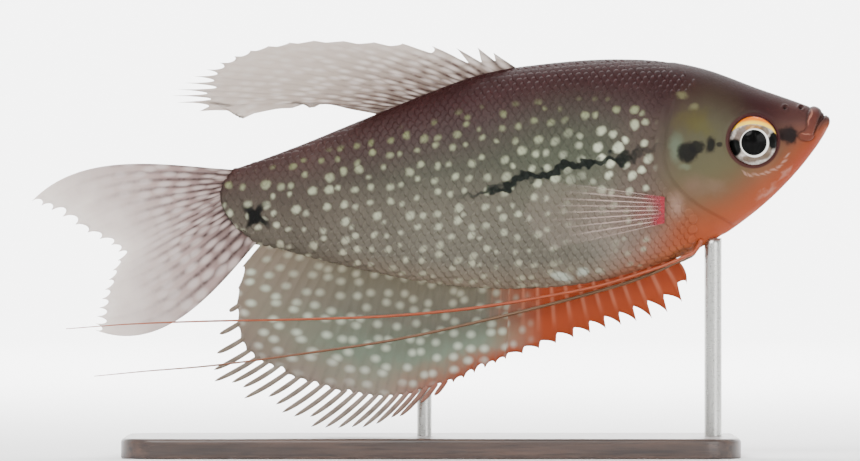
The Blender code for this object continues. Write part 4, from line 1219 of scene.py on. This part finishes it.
@dataclass
class Eye:
    """One eye: a flattened ball with a domed clear front, set in the side of the head."""

    side: Side
    radius: float = 3.72
    depth: float = 2.0
    bulge: float = 1.15
    lens: float = 0.20
    lens_radius: float = 1.5
    sides: int = 64

    def build(self) -> Piece:
        """Turn the eye's profile about the line out of the head.

        The front is half an ellipse of the ball's radius and depth, raised over the pupil by
        a bell of the lens's height.
        """
        angle = np.radians(np.linspace(-90.0, 90.0, 49))
        radius = self.radius * np.cos(angle)
        height = self.depth * np.sin(angle)
        height = height + self.lens * np.exp(-(radius / self.lens_radius) ** 4) * (angle > 0.0)
        width = float(FORM.flank(*np.array(FORM.eye)))
        middle = width + self.bulge - self.depth
        sign = self.side.value
        spin = np.arange(self.sides) * 2.0 * math.pi / self.sides
        rings = radius[1:-1, None]
        points = np.stack((FORM.eye[0] + rings * np.cos(spin),
                           sign * (middle + height[1:-1, None] + 0.0 * spin),
                           FORM.eye[1] + rings * np.sin(spin)), axis=-1)
        poles = [(FORM.eye[0], sign * (middle + end), FORM.eye[1])
                 for end in (height[0], height[-1])]
        points, faces = close_rings(points, poles)
        side = self.side.name.lower()
        return make_piece("cornea_" + side, points, faces, EyeFinish("wet_cornea_" + side).make(),
                          ("eye_" + side,))


@dataclass
class Fin:
    """A fin: thin membrane from its root to a ragged margin, stiffened by rays.

    Each kind of fin gives its root, its margin, how its rays bow, how it sways and where its
    rays run free.
    """

    name: str
    slot: str
    nodes: tuple[str, ...]
    finish: FinFinish
    rays: int
    margin: tuple
    first: float = 0.0
    last: float = 1.0
    between: int = 8
    rows: int = 34
    sheet: Pair = (0.16, 0.10)
    ray: Pair = (0.34, 0.15)
    # How far the membrane stops short of the margin, and where it is deepest between two
    # rays: 1 just ahead of the rear one, 0 midway; both over the share.
    notch: Knots = ((0.0, 0.8), (1.0, 0.8))
    skew: Knots = ((0.0, 0.0), (1.0, 0.0))
    ragged: float = 0.35
    seed: int = 3
    # Points along a free tip and round it, and half its thickness.
    blade_steps: int = 12
    blade_sides: int = 8
    blade_half: float = 0.14

    def root(self, share: Array) -> Array:
        """(X, Z) of the root at each share along the fin."""
        raise NotImplementedError

    def pulls(self, share: Array) -> tuple[Array, Array]:
        """How far each ray is drawn off its straight line at a third and two thirds of it."""
        straight = np.zeros((len(share), 2))
        return straight, straight

    def middle(self, share: Array, travel: Array) -> Array:
        """Y of the fin's middle at each point."""
        raise NotImplementedError

    def depth(self, share: Array, phase: Array) -> Array:
        """How far the membrane stops short of the margin, deepest between two rays.

        Args:
            share: place along the fin, 0 to 1.
            phase: place among the rays, a whole number on each.

        Returns:
            The distance: the notch's depth there, drawn a little at random for each gap, by a
            hollow that is a half wave or, where skewed, steepest just ahead of the next ray.
        """
        draw = np.random.default_rng(self.seed)
        size = draw.uniform(1.0 - self.ragged, 1.0 + self.ragged, self.rays + 1)
        number = np.clip(np.floor(phase).astype(int), 0, self.rays)
        between = phase - np.floor(phase)
        skew = smooth(self.skew, share)
        hollow = (1.0 - skew) * np.sin(math.pi * between) ** 0.6
        hollow += skew * between ** 0.8 * ease(1.0, 0.90, between)
        return smooth(self.notch, share) * size[number] * hollow

    def course(self, share: Array) -> Array:
        """(X, Z) direction of the free tips of the rays."""
        raise NotImplementedError

    def tips(self) -> list[tuple[float, float, float]]:
        """Free ray tips, each as (share, length, half width at its root)."""
        return []

    def surface(self, share: Array, travel: Array) -> Array:
        """Place the membrane on cubic curves from the root to the margin.

        Args:
            share: place along the fin, 0 to 1.
            travel: way from root to margin, 0 to 1, rows by places.

        Returns:
            (X, Z) of each point.
        """
        start = self.root(share)
        end = smooth_point(self.margin, share)
        pulls = self.pulls(share)
        near = start + (end - start) / 3.0 + pulls[0]
        far = start + (end - start) * 2.0 / 3.0 + pulls[1]
        along = travel[..., None]
        left = 1.0 - along
        return (left ** 3 * start + 3.0 * left * along * (left * near + along * far)
                + along ** 3 * end)

    def build(self) -> Piece:
        """Build the membrane as a closed slab and add the free tips as tapered blades."""
        count = (self.rays - 1) * self.between + 1
        local = np.linspace(0.0, 1.0, count)
        share = self.first + (self.last - self.first) * local
        phase = local * (self.rays - 1)
        length = np.linalg.norm(smooth_point(self.margin, share) - self.root(share), axis=1)
        stop = 1.0 - self.depth(share, phase) / length
        travel = np.linspace(0.0, 1.0, self.rows)[:, None] * stop
        grid = self.surface(share, travel)
        wave = (0.5 + 0.5 * np.cos(2.0 * math.pi * phase)) ** 3
        sheet = self.sheet[0] + (self.sheet[1] - self.sheet[0]) * travel
        ridge = self.ray[0] + (self.ray[1] - self.ray[0]) * travel
        half = sheet + (ridge - sheet) * wave
        half *= ease(1.02, 0.90, np.linspace(0.0, 1.0, self.rows))[:, None] * 0.75 + 0.25
        side = self.middle(share, travel)
        solid = np.stack((grid[..., 0], side, grid[..., 1]), axis=-1)
        points, faces = slab(solid, half, np.array((0.0, 1.0, 0.0)))
        marks = np.stack((np.broadcast_to(phase + 100.0 * self.first, travel.shape),
                          travel * length, travel), axis=-1).reshape(-1, 3)
        marks = np.concatenate((marks, marks))
        faces = face_outward(points, faces)
        for tip_share, reach, width in self.tips():
            more, more_faces, more_marks = self.blade(tip_share, reach, width)
            faces = np.concatenate((faces, more_faces + len(points)))
            points = np.concatenate((points, more))
            marks = np.concatenate((marks, more_marks))
        return make_piece(self.name, points, faces, self.finish.make(), self.nodes,
                          {"fin": marks})

    def blade(self, share: float, reach: float, width: float) -> tuple:
        """One free ray tip: a flat tapered blade that starts inside the membrane and curves.

        Args:
            share: the ray's place along the fin.
            reach: length of the tip.
            width: half width at its root.

        Returns:
            Points, triangles and the points' fin attribute.
        """
        spread = np.array((share,))
        end = smooth_point(self.margin, spread)[0]
        before = self.surface(spread, np.array([[0.90]]))[0, 0]
        way = (end - before) / max(np.linalg.norm(end - before), 1e-6)
        aim = self.course(spread)[0]
        inner = end - (0.5 * way + 0.5 * aim) * 1.2
        steps = np.linspace(0.0, 1.0, self.blade_steps)[:, None]
        bend = end + (0.12 * way + 0.88 * aim) * reach * 0.45
        final = end + aim * reach
        route = (1.0 - steps) ** 2 * inner + 2.0 * steps * (1.0 - steps) * bend + steps ** 2 * final
        side = self.middle(spread, np.ones_like(steps))[:, 0]
        route = np.stack((route[:, 0], side, route[:, 1]), axis=-1)
        along = steps[:, 0]
        taper = (0.8 + 0.6 * along) * np.sqrt(np.clip(1.0 - along ** 1.6, 0.0, 1.0)) + 0.04
        points, faces = tube(route, width * taper, self.blade_sides, (0.0, 1.0, 0.0))
        centre = np.repeat(route[:, 1], self.blade_sides)
        offset = points[:-2, 1] - centre
        points[:-2, 1] = centre + offset * (self.blade_half / width)
        marks = np.empty((len(points), 3))
        # Midway along, the blade's place among the rays nears a ray's crest and so darkens it.
        marks[:, 0] = 0.5
        marks[:-2, 0] = np.repeat(0.5 + 0.42 * bell(along - 0.48, 0.17), self.blade_sides)
        marks[:, 1] = 50.0 + 7.0 * share
        marks[:, 2] = 1.0
        return points, faces, marks


@dataclass
class DorsalFin(Fin):
    """Dorsal fin, swept back from the top of the back."""

    root_x: Pair = (13.2, -7.6)
    rise: float = 1.5
    sway: float = 1.0
    # How far the lower hem stands off its plain line, over the way from root to margin.
    hem: Knots = ((0.0, 0.0), (0.15, 0.5), (0.333, 1.05), (0.395, 0.55), (0.41, 0.95), (0.475, 0.45),
                  (0.55, 0.3), (0.70, -0.5), (0.785, -0.95), (0.80, -0.4), (0.87, 0.0), (1.0, 0.0))

    def root(self, share: Array) -> Array:
        """Root along the back, sunk in a little."""
        place = self.root_x[0] + (self.root_x[1] - self.root_x[0]) * share ** 0.78
        return np.stack((place, smooth(FORM.back, place) - 0.5), axis=-1)

    def pulls(self, share: Array) -> tuple[Array, Array]:
        """Rays arch upwards, most in the middle of the fin."""
        lift = self.rise * np.sin(math.pi * share * 0.85)
        pull = np.stack((np.zeros_like(share), lift * 2.0 / 3.0), axis=-1)
        return pull, pull

    def surface(self, share: Array, travel: Array) -> Array:
        """Plain fin surface, with the hem of its last rays moved up and down in steps."""
        grid = super().surface(share, travel)
        grid[..., 1] += smooth(self.hem, travel) * ease(0.90, 1.0, share)
        return grid

    def middle(self, share: Array, travel: Array) -> Array:
        """The free edge sways once to each side."""
        return self.sway * travel ** 2 * np.sin(2.0 * math.pi * share)


@dataclass
class CaudalFin(Fin):
    """Forked tail fin, fanned out from the end of the tail stalk."""

    top_pulls: tuple = ((0.0, 2.2), (-2.6, 6.4))
    low_pulls: tuple = ((1.6, -3.3), (2.0, -8.3))
    sway: float = 1.2

    def root(self, share: Array) -> Array:
        """Root along the rounded end of the body, sunk in a little."""
        level = 0.97 - 1.93 * share
        place = FORM.tail_seam(level)
        return np.stack((place + 0.5, FORM.section(place, level)[1]), axis=-1)

    def pulls(self, share: Array) -> tuple[Array, Array]:
        """The top and bottom rays bow outwards, those between less."""
        top = np.clip(1.0 - share / 0.45, 0.0, 1.0)[:, None] ** 1.6
        low = np.clip((share - 0.5) / 0.5, 0.0, 1.0)[:, None] ** 1.8
        near, far = (top * np.array(high) + low * np.array(deep)
                     for high, deep in zip(self.top_pulls, self.low_pulls))
        return near, far

    def middle(self, share: Array, travel: Array) -> Array:
        """The lobes sway gently to opposite sides."""
        return self.sway * travel ** 2 * np.sin(1.4 * math.pi * share + 0.3)


@dataclass
class AnalFin(Fin):
    """Length of the anal fin, from the chest to the tail stalk."""

    root_x: Pair = (36.6, -25.4)
    tip_lengths: tuple = ()
    tip_course: Knots = ((0.0, 230.0), (0.40, 228.0), (0.60, 222.0), (0.72, 214.0), (0.84, 208.0),
                         (0.92, 205.0), (1.0, 202.0))
    tip_width: float = 0.38
    shortest_tip: float = 0.9
    sway: float = 0.5

    def root(self, share: Array) -> Array:
        """Root along the belly, sunk in a little."""
        place = self.root_x[0] + (self.root_x[1] - self.root_x[0]) * share
        return np.stack((place, smooth(FORM.belly, place) + 0.5), axis=-1)

    def middle(self, share: Array, travel: Array) -> Array:
        """The free edge sways in three shallow waves."""
        return self.sway * travel ** 2 * np.sin(3.0 * math.pi * share)

    def pulls(self, share: Array) -> tuple[Array, Array]:
        """The foremost rays bow forwards."""
        bow = np.clip(1.0 - share / 0.09, 0.0, 1.0)[:, None]
        return bow * np.array((0.5, 0.3)), bow * np.array((1.0, 0.5))

    def course(self, share: Array) -> Array:
        """Tips trail back and down."""
        angle = np.radians(smooth(self.tip_course, share))
        return np.stack((np.cos(angle), np.sin(angle)), axis=-1)

    def tips(self) -> list[tuple[float, float, float]]:
        """A blade on each ray, its length by the place along the fin."""
        if not self.tip_lengths:
            return []
        made = []
        draw = np.random.default_rng(self.seed)
        for ray in range(self.rays):
            share = self.first + (self.last - self.first) * ray / (self.rays - 1)
            reach = float(smooth(self.tip_lengths, np.array(share))) * draw.uniform(0.76, 1.14)
            if reach > self.shortest_tip:
                made.append((share, reach, self.tip_width))
        return made


@dataclass
class PectoralFin(Fin):
    """Pectoral fin, rooted on the trunk just behind the gill cover."""

    side: Side = Side.LEFT
    root_x: float = 34.9
    root_z: Pair = (38.8, 34.9)
    spread: float = 3.4

    def root(self, share: Array) -> Array:
        """Root on a short upright line."""
        height = self.root_z[0] + (self.root_z[1] - self.root_z[0]) * share
        return np.stack((np.full_like(height, self.root_x), height), axis=-1)

    def middle(self, share: Array, travel: Array) -> Array:
        """The fin stands off the flank, more towards its tip."""
        root = self.root(share)
        rooted = FORM.flank(root[:, 0], root[:, 1]) + 0.10
        return self.side.value * (rooted + self.spread * travel ** 1.2)


@dataclass
class Feeler:
    """Long thread-like pelvic fin ray that trails back under the body."""

    side: Side
    route: Knots
    swing: Knots
    finish: FeelerFinish
    slot: str
    root: Pair = (40.5, 1.65)
    radius: float = 0.25
    tip_radius: float = 0.06
    lengths: int = 220

    def build(self) -> Piece:
        """Build the feeler as a tapered tube with slight joints."""
        tip, front = self.route[0][0], self.route[-1][0]
        place = front + (tip - front) * np.linspace(0.0, 1.0, self.lengths) ** 1.05
        sign = self.side.value
        route = np.stack((place, sign * smooth(self.swing, place), smooth(self.route, place)), axis=-1)
        height = float(FORM.underside(np.array(self.root[0]), np.array(self.root[1])))
        start = np.array((self.root[0], sign * self.root[1], height + 0.25))
        # A curve leads from the root into the route's own course.
        run = route[0] - route[3]
        ahead = route[0] + run / np.linalg.norm(run) * 0.9
        way = np.linspace(0.0, 1.0, 12)[:-1, None]
        lead = (1.0 - way) ** 2 * start + 2.0 * way * (1.0 - way) * ahead + way ** 2 * route[0]
        route = np.concatenate((lead, route))
        share = np.linspace(0.0, 1.0, len(route))
        radius = self.tip_radius + (self.radius - self.tip_radius) * (1.0 - share ** 2.2)
        radius *= 1.0 + 0.05 * np.sin(share * 420.0)
        radius[:20] *= np.linspace(1.5, 1.0, 20)
        points, faces = tube(route, radius, 10, (0.0, 1.0, 0.0))
        name = "pelvic_feeler_" + self.side.name.lower()
        return make_piece("feeler_" + self.side.name.lower(), points, faces, self.finish.make(),
                          (name,))


@dataclass
class Stand:
    """Plain display stand: a bevelled beech plate and two steel rods."""

    length: float = 92.0
    width: float = 44.0
    thickness: float = 3.0
    corner: float = 6.0
    bevel: float = 0.6
    rods: tuple = (("stand_rod_front", 42.3, 0.0, 1.3), ("stand_rod_rear", -1.0, 2.4, 1.1))

    def outline(self, inset: float, height: float, steps: int = 16) -> Array:
        """Ring of points round the plate.

        Args:
            inset: how far inside the plate's edge it runs.
            height: Z.
            steps: points on each rounded corner.

        Returns:
            The points, one row each.
        """
        radius = self.corner - inset
        angle = np.concatenate([quarter * math.pi / 2.0 + np.linspace(0.0, math.pi / 2.0, steps)
                                for quarter in range(4)])
        reach_x = self.length / 2.0 - self.corner
        reach_y = self.width / 2.0 - self.corner
        quarter = np.repeat(np.arange(4), steps)
        centre_x = np.where((quarter == 0) | (quarter == 3), reach_x, -reach_x)
        centre_y = np.where(quarter < 2, reach_y, -reach_y)
        return np.stack((centre_x + radius * np.cos(angle), centre_y + radius * np.sin(angle),
                         np.full(len(angle), height)), axis=-1)

    def build(self) -> None:
        """Build the plate with rounded edges, and the rods."""
        turn = np.linspace(0.0, math.pi / 2.0, 6)
        low = [(self.bevel * 0.5 * (1.0 - math.sin(t)), self.bevel * 0.5 * (1.0 - math.cos(t)))
               for t in turn]
        high = [(self.bevel * (1.0 - math.cos(t)), self.thickness - self.bevel * (1.0 - math.sin(t)))
                for t in turn]
        rings = [self.outline(inset, height) for inset, height in low + high]
        rings.append(self.outline(4.5, self.thickness))
        points, faces = close_rings(np.stack(rings), ((0.0, 0.0, 0.0), (0.0, 0.0, self.thickness)))
        make_piece("plate", points, faces, BeechFinish().make(), ("stand_base",))
        steel = SteelFinish().make()
        for name, place, side, radius in self.rods:
            top = float(FORM.underside(np.array(place), np.array(abs(side)))) + 0.5
            height = np.concatenate(((self.thickness - 0.3,), np.linspace(self.thickness, top, 30)))
            route = np.stack((np.full(len(height), place), np.full(len(height), side), height), axis=-1)
            points, faces = tube(route, np.full(len(height), radius), 40, (1.0, 0.0, 0.0))
            make_piece("steel_" + name[6:], points, faces, steel, (name,))


@dataclass
class Studio:
    """Pale sweep of floor and wall, soft lights and a level camera on the fish's right."""

    floor_radius: float = 1.5
    rim_radius: float = 2.4
    rim_height: float = 1.4
    sides: int = 96
    lens: float = 400.0
    sensor: float = 36.0
    frame_width: float = 129.0
    aim: Pair = (-0.15, 33.8)

    def build(self) -> None:
        """Make the floor, the lights, the world and the camera."""
        self.make_floor()
        self.make_lights()
        self.make_camera()

    def make_floor(self) -> None:
        """Turn a profile, flat and then curved up, once round the middle.

        The sweep faces inwards and is clear from outside, so that a camera beyond it sees the model.
        """
        flat = np.linspace(0.0, self.floor_radius, 6)
        bend = np.linspace(0.0, math.pi / 2.0, 14)[1:]
        reach = self.rim_radius - self.floor_radius
        radius = np.concatenate((flat, self.floor_radius + reach * np.sin(bend)))
        height = np.concatenate((np.zeros(len(flat)), self.rim_height * (1.0 - np.cos(bend))))
        angle = np.arange(self.sides) * 2.0 * math.pi / self.sides
        ring = np.stack((radius[:, None] * np.cos(angle), radius[:, None] * np.sin(angle),
                         np.broadcast_to(height[:, None], (len(radius), self.sides))), axis=-1)
        mesh = bpy.data.meshes.new("studio_floor")
        faces = grid_faces(len(radius), self.sides, closed=True)[:, ::-1]
        mesh.from_pydata(ring.reshape(-1, 3).tolist(), [], faces.tolist())
        mesh.polygons.foreach_set("use_smooth", np.ones(len(faces), dtype=bool))
        material, tree, shader = new_material("matt_white_paper")
        outside = add(tree, "NewGeometry", out="Backfacing")
        inside = add(tree, "Math", 1.0, outside, operation="SUBTRACT")
        set_inputs(tree, shader, {"Base Color": linear("#f4f4f4"), "Roughness": 0.9, "Alpha": inside})
        mesh.materials.append(material)
        floor = bpy.data.objects.new("studio_floor", mesh)
        bpy.context.scene.collection.objects.link(floor)

    def make_lights(self) -> None:
        """Light from above and both sides, broad and soft."""
        world = bpy.data.worlds.new("studio_world")
        world.use_nodes = True
        background = world.node_tree.nodes["Background"]
        background.inputs["Color"].default_value = linear("#ffffff")
        background.inputs["Strength"].default_value = 0.75
        bpy.context.scene.world = world
        middle = (0.0, 0.0, 0.04)
        plans = (
            ("key_light", (-0.25, -0.55, 0.60), middle, 0.5, 7.0),
            ("fill_light", (0.45, -0.60, 0.20), middle, 0.5, 2.5),
            ("back_light", (0.10, 0.60, 0.55), middle, 0.6, 2.0),
            ("backdrop_light", (0.0, 0.75, 1.30), (0.0, 2.1, 0.25), 1.2, 150.0),
        )
        for name, place, aim, size, power in plans:
            data = bpy.data.lights.new(name, "AREA")
            data.shape = "DISK"
            data.size = size
            data.energy = power
            light = bpy.data.objects.new(name, data)
            target = np.array(aim) - np.array(place)
            light.location = place
            yaw = math.atan2(target[1], target[0])
            pitch = math.atan2(math.hypot(target[0], target[1]), -target[2])
            light.rotation_euler = (pitch, 0.0, yaw - math.pi / 2.0)
            bpy.context.scene.collection.objects.link(light)

    def make_camera(self) -> None:
        """Place a long-lens camera so that the frame spans the drawing's width at the fish."""
        data = bpy.data.cameras.new("camera")
        data.lens = self.lens
        data.sensor_width = self.sensor
        data.clip_start = 0.01
        data.clip_end = 20.0
        distance = self.frame_width * self.lens / self.sensor * MM
        camera = bpy.data.objects.new("camera", data)
        camera.location = (self.aim[0] * MM, -distance, self.aim[1] * MM)
        camera.rotation_euler = (math.pi / 2.0, 0.0, 0.0)
        bpy.context.scene.collection.objects.link(camera)
        bpy.context.scene.camera = camera


def tail_fin() -> Fin:
    """The tail fin: brown at its root, clear at the margin, with rows of dark flecks."""
    finish = FinFinish(
        "tail_fin_membrane",
        membrane=((0.0, "#5a4743f2"), (0.3, "#8c746fe4"), (0.65, "#ab9992cc"), (1.0, "#d2c3b8b4")),
        rays=((0.0, "#241210ff"), (0.3, "#35201de8"), (0.52, "#5e4944a0"), (0.8, "#9a8a8300")),
        spots=((0.0, "#a3928cc8"), (0.4, "#bfb2aca8"), (0.7, "#cfc4be00"), (1.0, "#d6d0cb00")),
        spot_plan=(1.0, 2.9, 0.32), ray_share=0.36, spot_blur=0.20, joint_range=(0.65, 1.0))
    return CaudalFin(
        "tail_fin", "clear_fin", ("caudal_fin",), finish, rays=18,
        margin=((0.00, -59.9, 38.2), (0.14, -56.4, 36.5), (0.30, -51.4, 33.4), (0.48, -46.9, 30.4),
                (0.62, -48.2, 27.0), (0.78, -49.5, 23.2), (0.90, -50.2, 20.6), (1.00, -50.4, 18.9)),
        notch=((0.0, 1.2), (1.0, 1.2)))


def back_fin() -> Fin:
    """The back fin: dark rays near the body, pale towards its ragged rear margin."""
    finish = FinFinish(
        "back_fin_membrane",
        membrane=((0.0, "#5c4c44f6"), (0.22, "#84756bec"), (0.5, "#a09185dc"), (1.0, "#b3a498cc")),
        rays=((0.0, "#240f0dff"), (0.28, "#3a221ee8"), (0.5, "#5c4640a0"), (0.8, "#7a6a6040"),
              (1.0, "#8a7a7020")),
        spots=((0.0, "#b3a59dc8"), (0.4, "#c6bab2b8"), (0.75, "#cfc6be40"), (1.0, "#d6d0cb00")),
        spot_plan=(1.0, 3.0, 0.27), ray_share=0.36, spot_blur=0.22, ray_reach=15.0)
    return DorsalFin(
        "back_fin", "clear_fin", ("dorsal_fin",), finish, rays=20,
        margin=((0.00, 9.3, 60.5), (0.053, 6.9, 61.3), (0.105, 3.75, 61.2), (0.158, 0.1, 61.5),
                (0.21, -4.3, 61.9), (0.27, -9.2, 62.1), (0.37, -17.7, 62.3), (0.48, -24.8, 61.4),
                (0.58, -29.6, 59.9), (0.68, -33.6, 58.0), (0.77, -36.6, 56.3), (0.86, -38.4, 54.6),
                (0.93, -38.9, 53.4), (1.00, -34.8, 51.7)),
        notch=((0.00, 3.0), (0.05, 4.4), (0.10, 5.2), (0.16, 5.6), (0.21, 4.2), (0.26, 2.6),
               (0.34, 1.8), (0.60, 1.5), (0.74, 3.2), (0.84, 5.0), (0.94, 5.2), (1.00, 1.0)),
        skew=((0.0, 1.0), (0.40, 1.0), (0.62, 0.4), (0.72, 0.1), (1.0, 0.0)), ragged=0.2, between=12)


def anal_fins() -> list[Fin]:
    """The anal fin's orange front length with its spines, and its spotted rear one."""
    ramps = {
        "membrane": ((0.0, "#4f493bff"), (0.35, "#58554af8"), (0.65, "#626c5cf4"),
                     (0.88, "#776f60ee"), (1.0, "#83746aea")),
        "rays": ((0.0, "#4f463c00"), (0.5, "#57534600"), (0.85, "#5f574e50"), (1.0, "#5c5048a0")),
        "spots": ((0.0, "#86826fd0"), (0.3, "#8f917fd8"), (0.6, "#a6ae9bf8"), (0.85, "#a9aa9ce0"),
                  (1.0, "#a69c9200")),
        "orange": ((8.0, 17.0), (0.70, 0.95), "#803215"),
        "dusk": ((-12.0, -30.0), "#6c5e51"),
    }
    margin = (
        (0.00, 38.3, 25.6), (0.035, 37.6, 22.9), (0.075, 34.9, 21.2), (0.15, 29.7, 19.9),
        (0.24, 23.4, 18.3), (0.32, 17.2, 16.4), (0.40, 11.2, 14.5), (0.52, 1.8, 10.4),
        (0.62, -5.5, 8.4), (0.74, -15.0, 9.5), (0.84, -23.5, 12.8), (0.91, -28.3, 16.0),
        (0.955, -29.4, 21.4), (1.00, -28.3, 28.4),
    )
    parting = 0.4
    front = AnalFin(
        "anal_fin_spines", "orange_fin", ("anal_fin_front",),
        FinFinish("orange_fin_membrane", spot_plan=(1.0, 2.6, 0.17), spot_blur=0.18, **ramps),
        rays=13, margin=margin, last=parting,
        notch=((0.0, 3.6), (0.08, 3.2), (0.16, 2.5), (0.3, 1.6), (0.4, 0.9)),
        skew=((0.0, 0.9), (1.0, 0.9)), ragged=0.10, between=14)
    rear = AnalFin(
        "anal_fin_soft", "spotted_fin", ("anal_fin_rear",),
        FinFinish("spotted_fin_membrane", spot_plan=(0.56, 2.1, 0.22), spot_blur=0.19, **ramps),
        rays=31, margin=margin, first=parting, between=6,
        tip_lengths=((0.00, 0.2), (0.40, 0.4), (0.50, 0.8), (0.53, 2.6), (0.57, 5.4), (0.62, 6.6),
                     (0.74, 6.6), (0.82, 6.2), (0.90, 5.4), (0.94, 2.6), (0.97, 0.8), (1.00, 0.3)))
    return [front, rear]


def breast_fin(side: Side) -> Fin:
    """One breast fin: red at its root, with pale rays in a nearly clear membrane."""
    name = side.name.lower()
    finish = FinFinish(
        "clear_breast_fin_" + name,
        membrane=((0.0, "#9a3640c8"), (0.04, "#963c4498"), (0.13, "#91505030"), (0.2, "#8a6c621c"),
                  (1.0, "#9a8c800e")),
        rays=((0.0, "#9a3640c8"), (0.05, "#a8686cc0"), (0.13, "#cdbab0e0"), (0.45, "#c4b2a898"),
              (0.8, "#b8a89c10")),
        spots=((0.0, "#cbb5ab00"), (1.0, "#cbb5ab00")), ray_share=0.20, joint_range=(0.9, 1.0))
    return PectoralFin(
        "breast_fin_" + name, "clear_fin", ("pectoral_fin_" + name,), finish, rays=9,
        margin=((0.00, 16.8, 41.3), (0.25, 14.4, 38.8), (0.50, 13.6, 36.4), (0.75, 14.6, 33.7),
                (1.00, 17.6, 30.9)),
        notch=((0.0, 0.5), (1.0, 0.5)), sheet=(0.10, 0.06), ray=(0.24, 0.10), side=side)


def feelers() -> list[Feeler]:
    """Both feelers: the left one crosses under the belly and trails on the right side too."""
    right = Feeler(
        Side.RIGHT,
        route=((-54.6, 19.1), (-45.0, 19.8), (-34.6, 20.2), (-19.6, 20.5), (-4.6, 21.1), (7.3, 22.3),
               (18.3, 24.1), (24.8, 25.4), (30.3, 27.0), (35.8, 28.9), (39.0, 30.3)),
        swing=((-54.6, 4.4), (-30.0, 3.4), (0.0, 2.4), (20.0, 1.9), (35.0, 1.75), (40.0, 1.65)),
        finish=FeelerFinish("orange_feeler_skin", "#8a3812", "#8a4424", (10.0, -50.0)),
        slot="orange_feeler")
    left = Feeler(
        Side.LEFT,
        route=((-50.4, 12.0), (-42.1, 12.8), (-34.6, 13.4), (-19.6, 15.3), (-4.6, 17.6), (7.0, 20.1),
               (17.7, 22.7), (24.0, 24.4), (30.3, 26.3), (35.2, 28.3), (36.6, 29.0), (38.0, 29.5),
               (39.0, 30.0)),
        swing=((-54.6, -3.4), (-30.0, -2.9), (0.0, -2.0), (20.0, -1.1), (30.0, -0.9), (36.4, -0.9),
               (38.0, -0.1), (39.0, 0.9), (40.0, 1.65)),
        finish=FeelerFinish("brown_feeler_skin", "#5a3f26", "#7a4226", (10.0, -50.0)),
        slot="brown_feeler")
    return [right, left]


def main() -> None:
    """Build every piece in order."""
    logging.basicConfig(level=logging.INFO)
    skin = SkinFinish().make()
    Studio().build()
    Skin(skin).build()
    for side in Side:
        ScaleCoat(skin, side).build()
        Eye(side).build()
    fins = [tail_fin(), back_fin(), *anal_fins(), *(breast_fin(side) for side in Side)]
    for part in (*fins, *feelers(), Stand()):
        part.build()


if __name__ == "__main__":
    main()
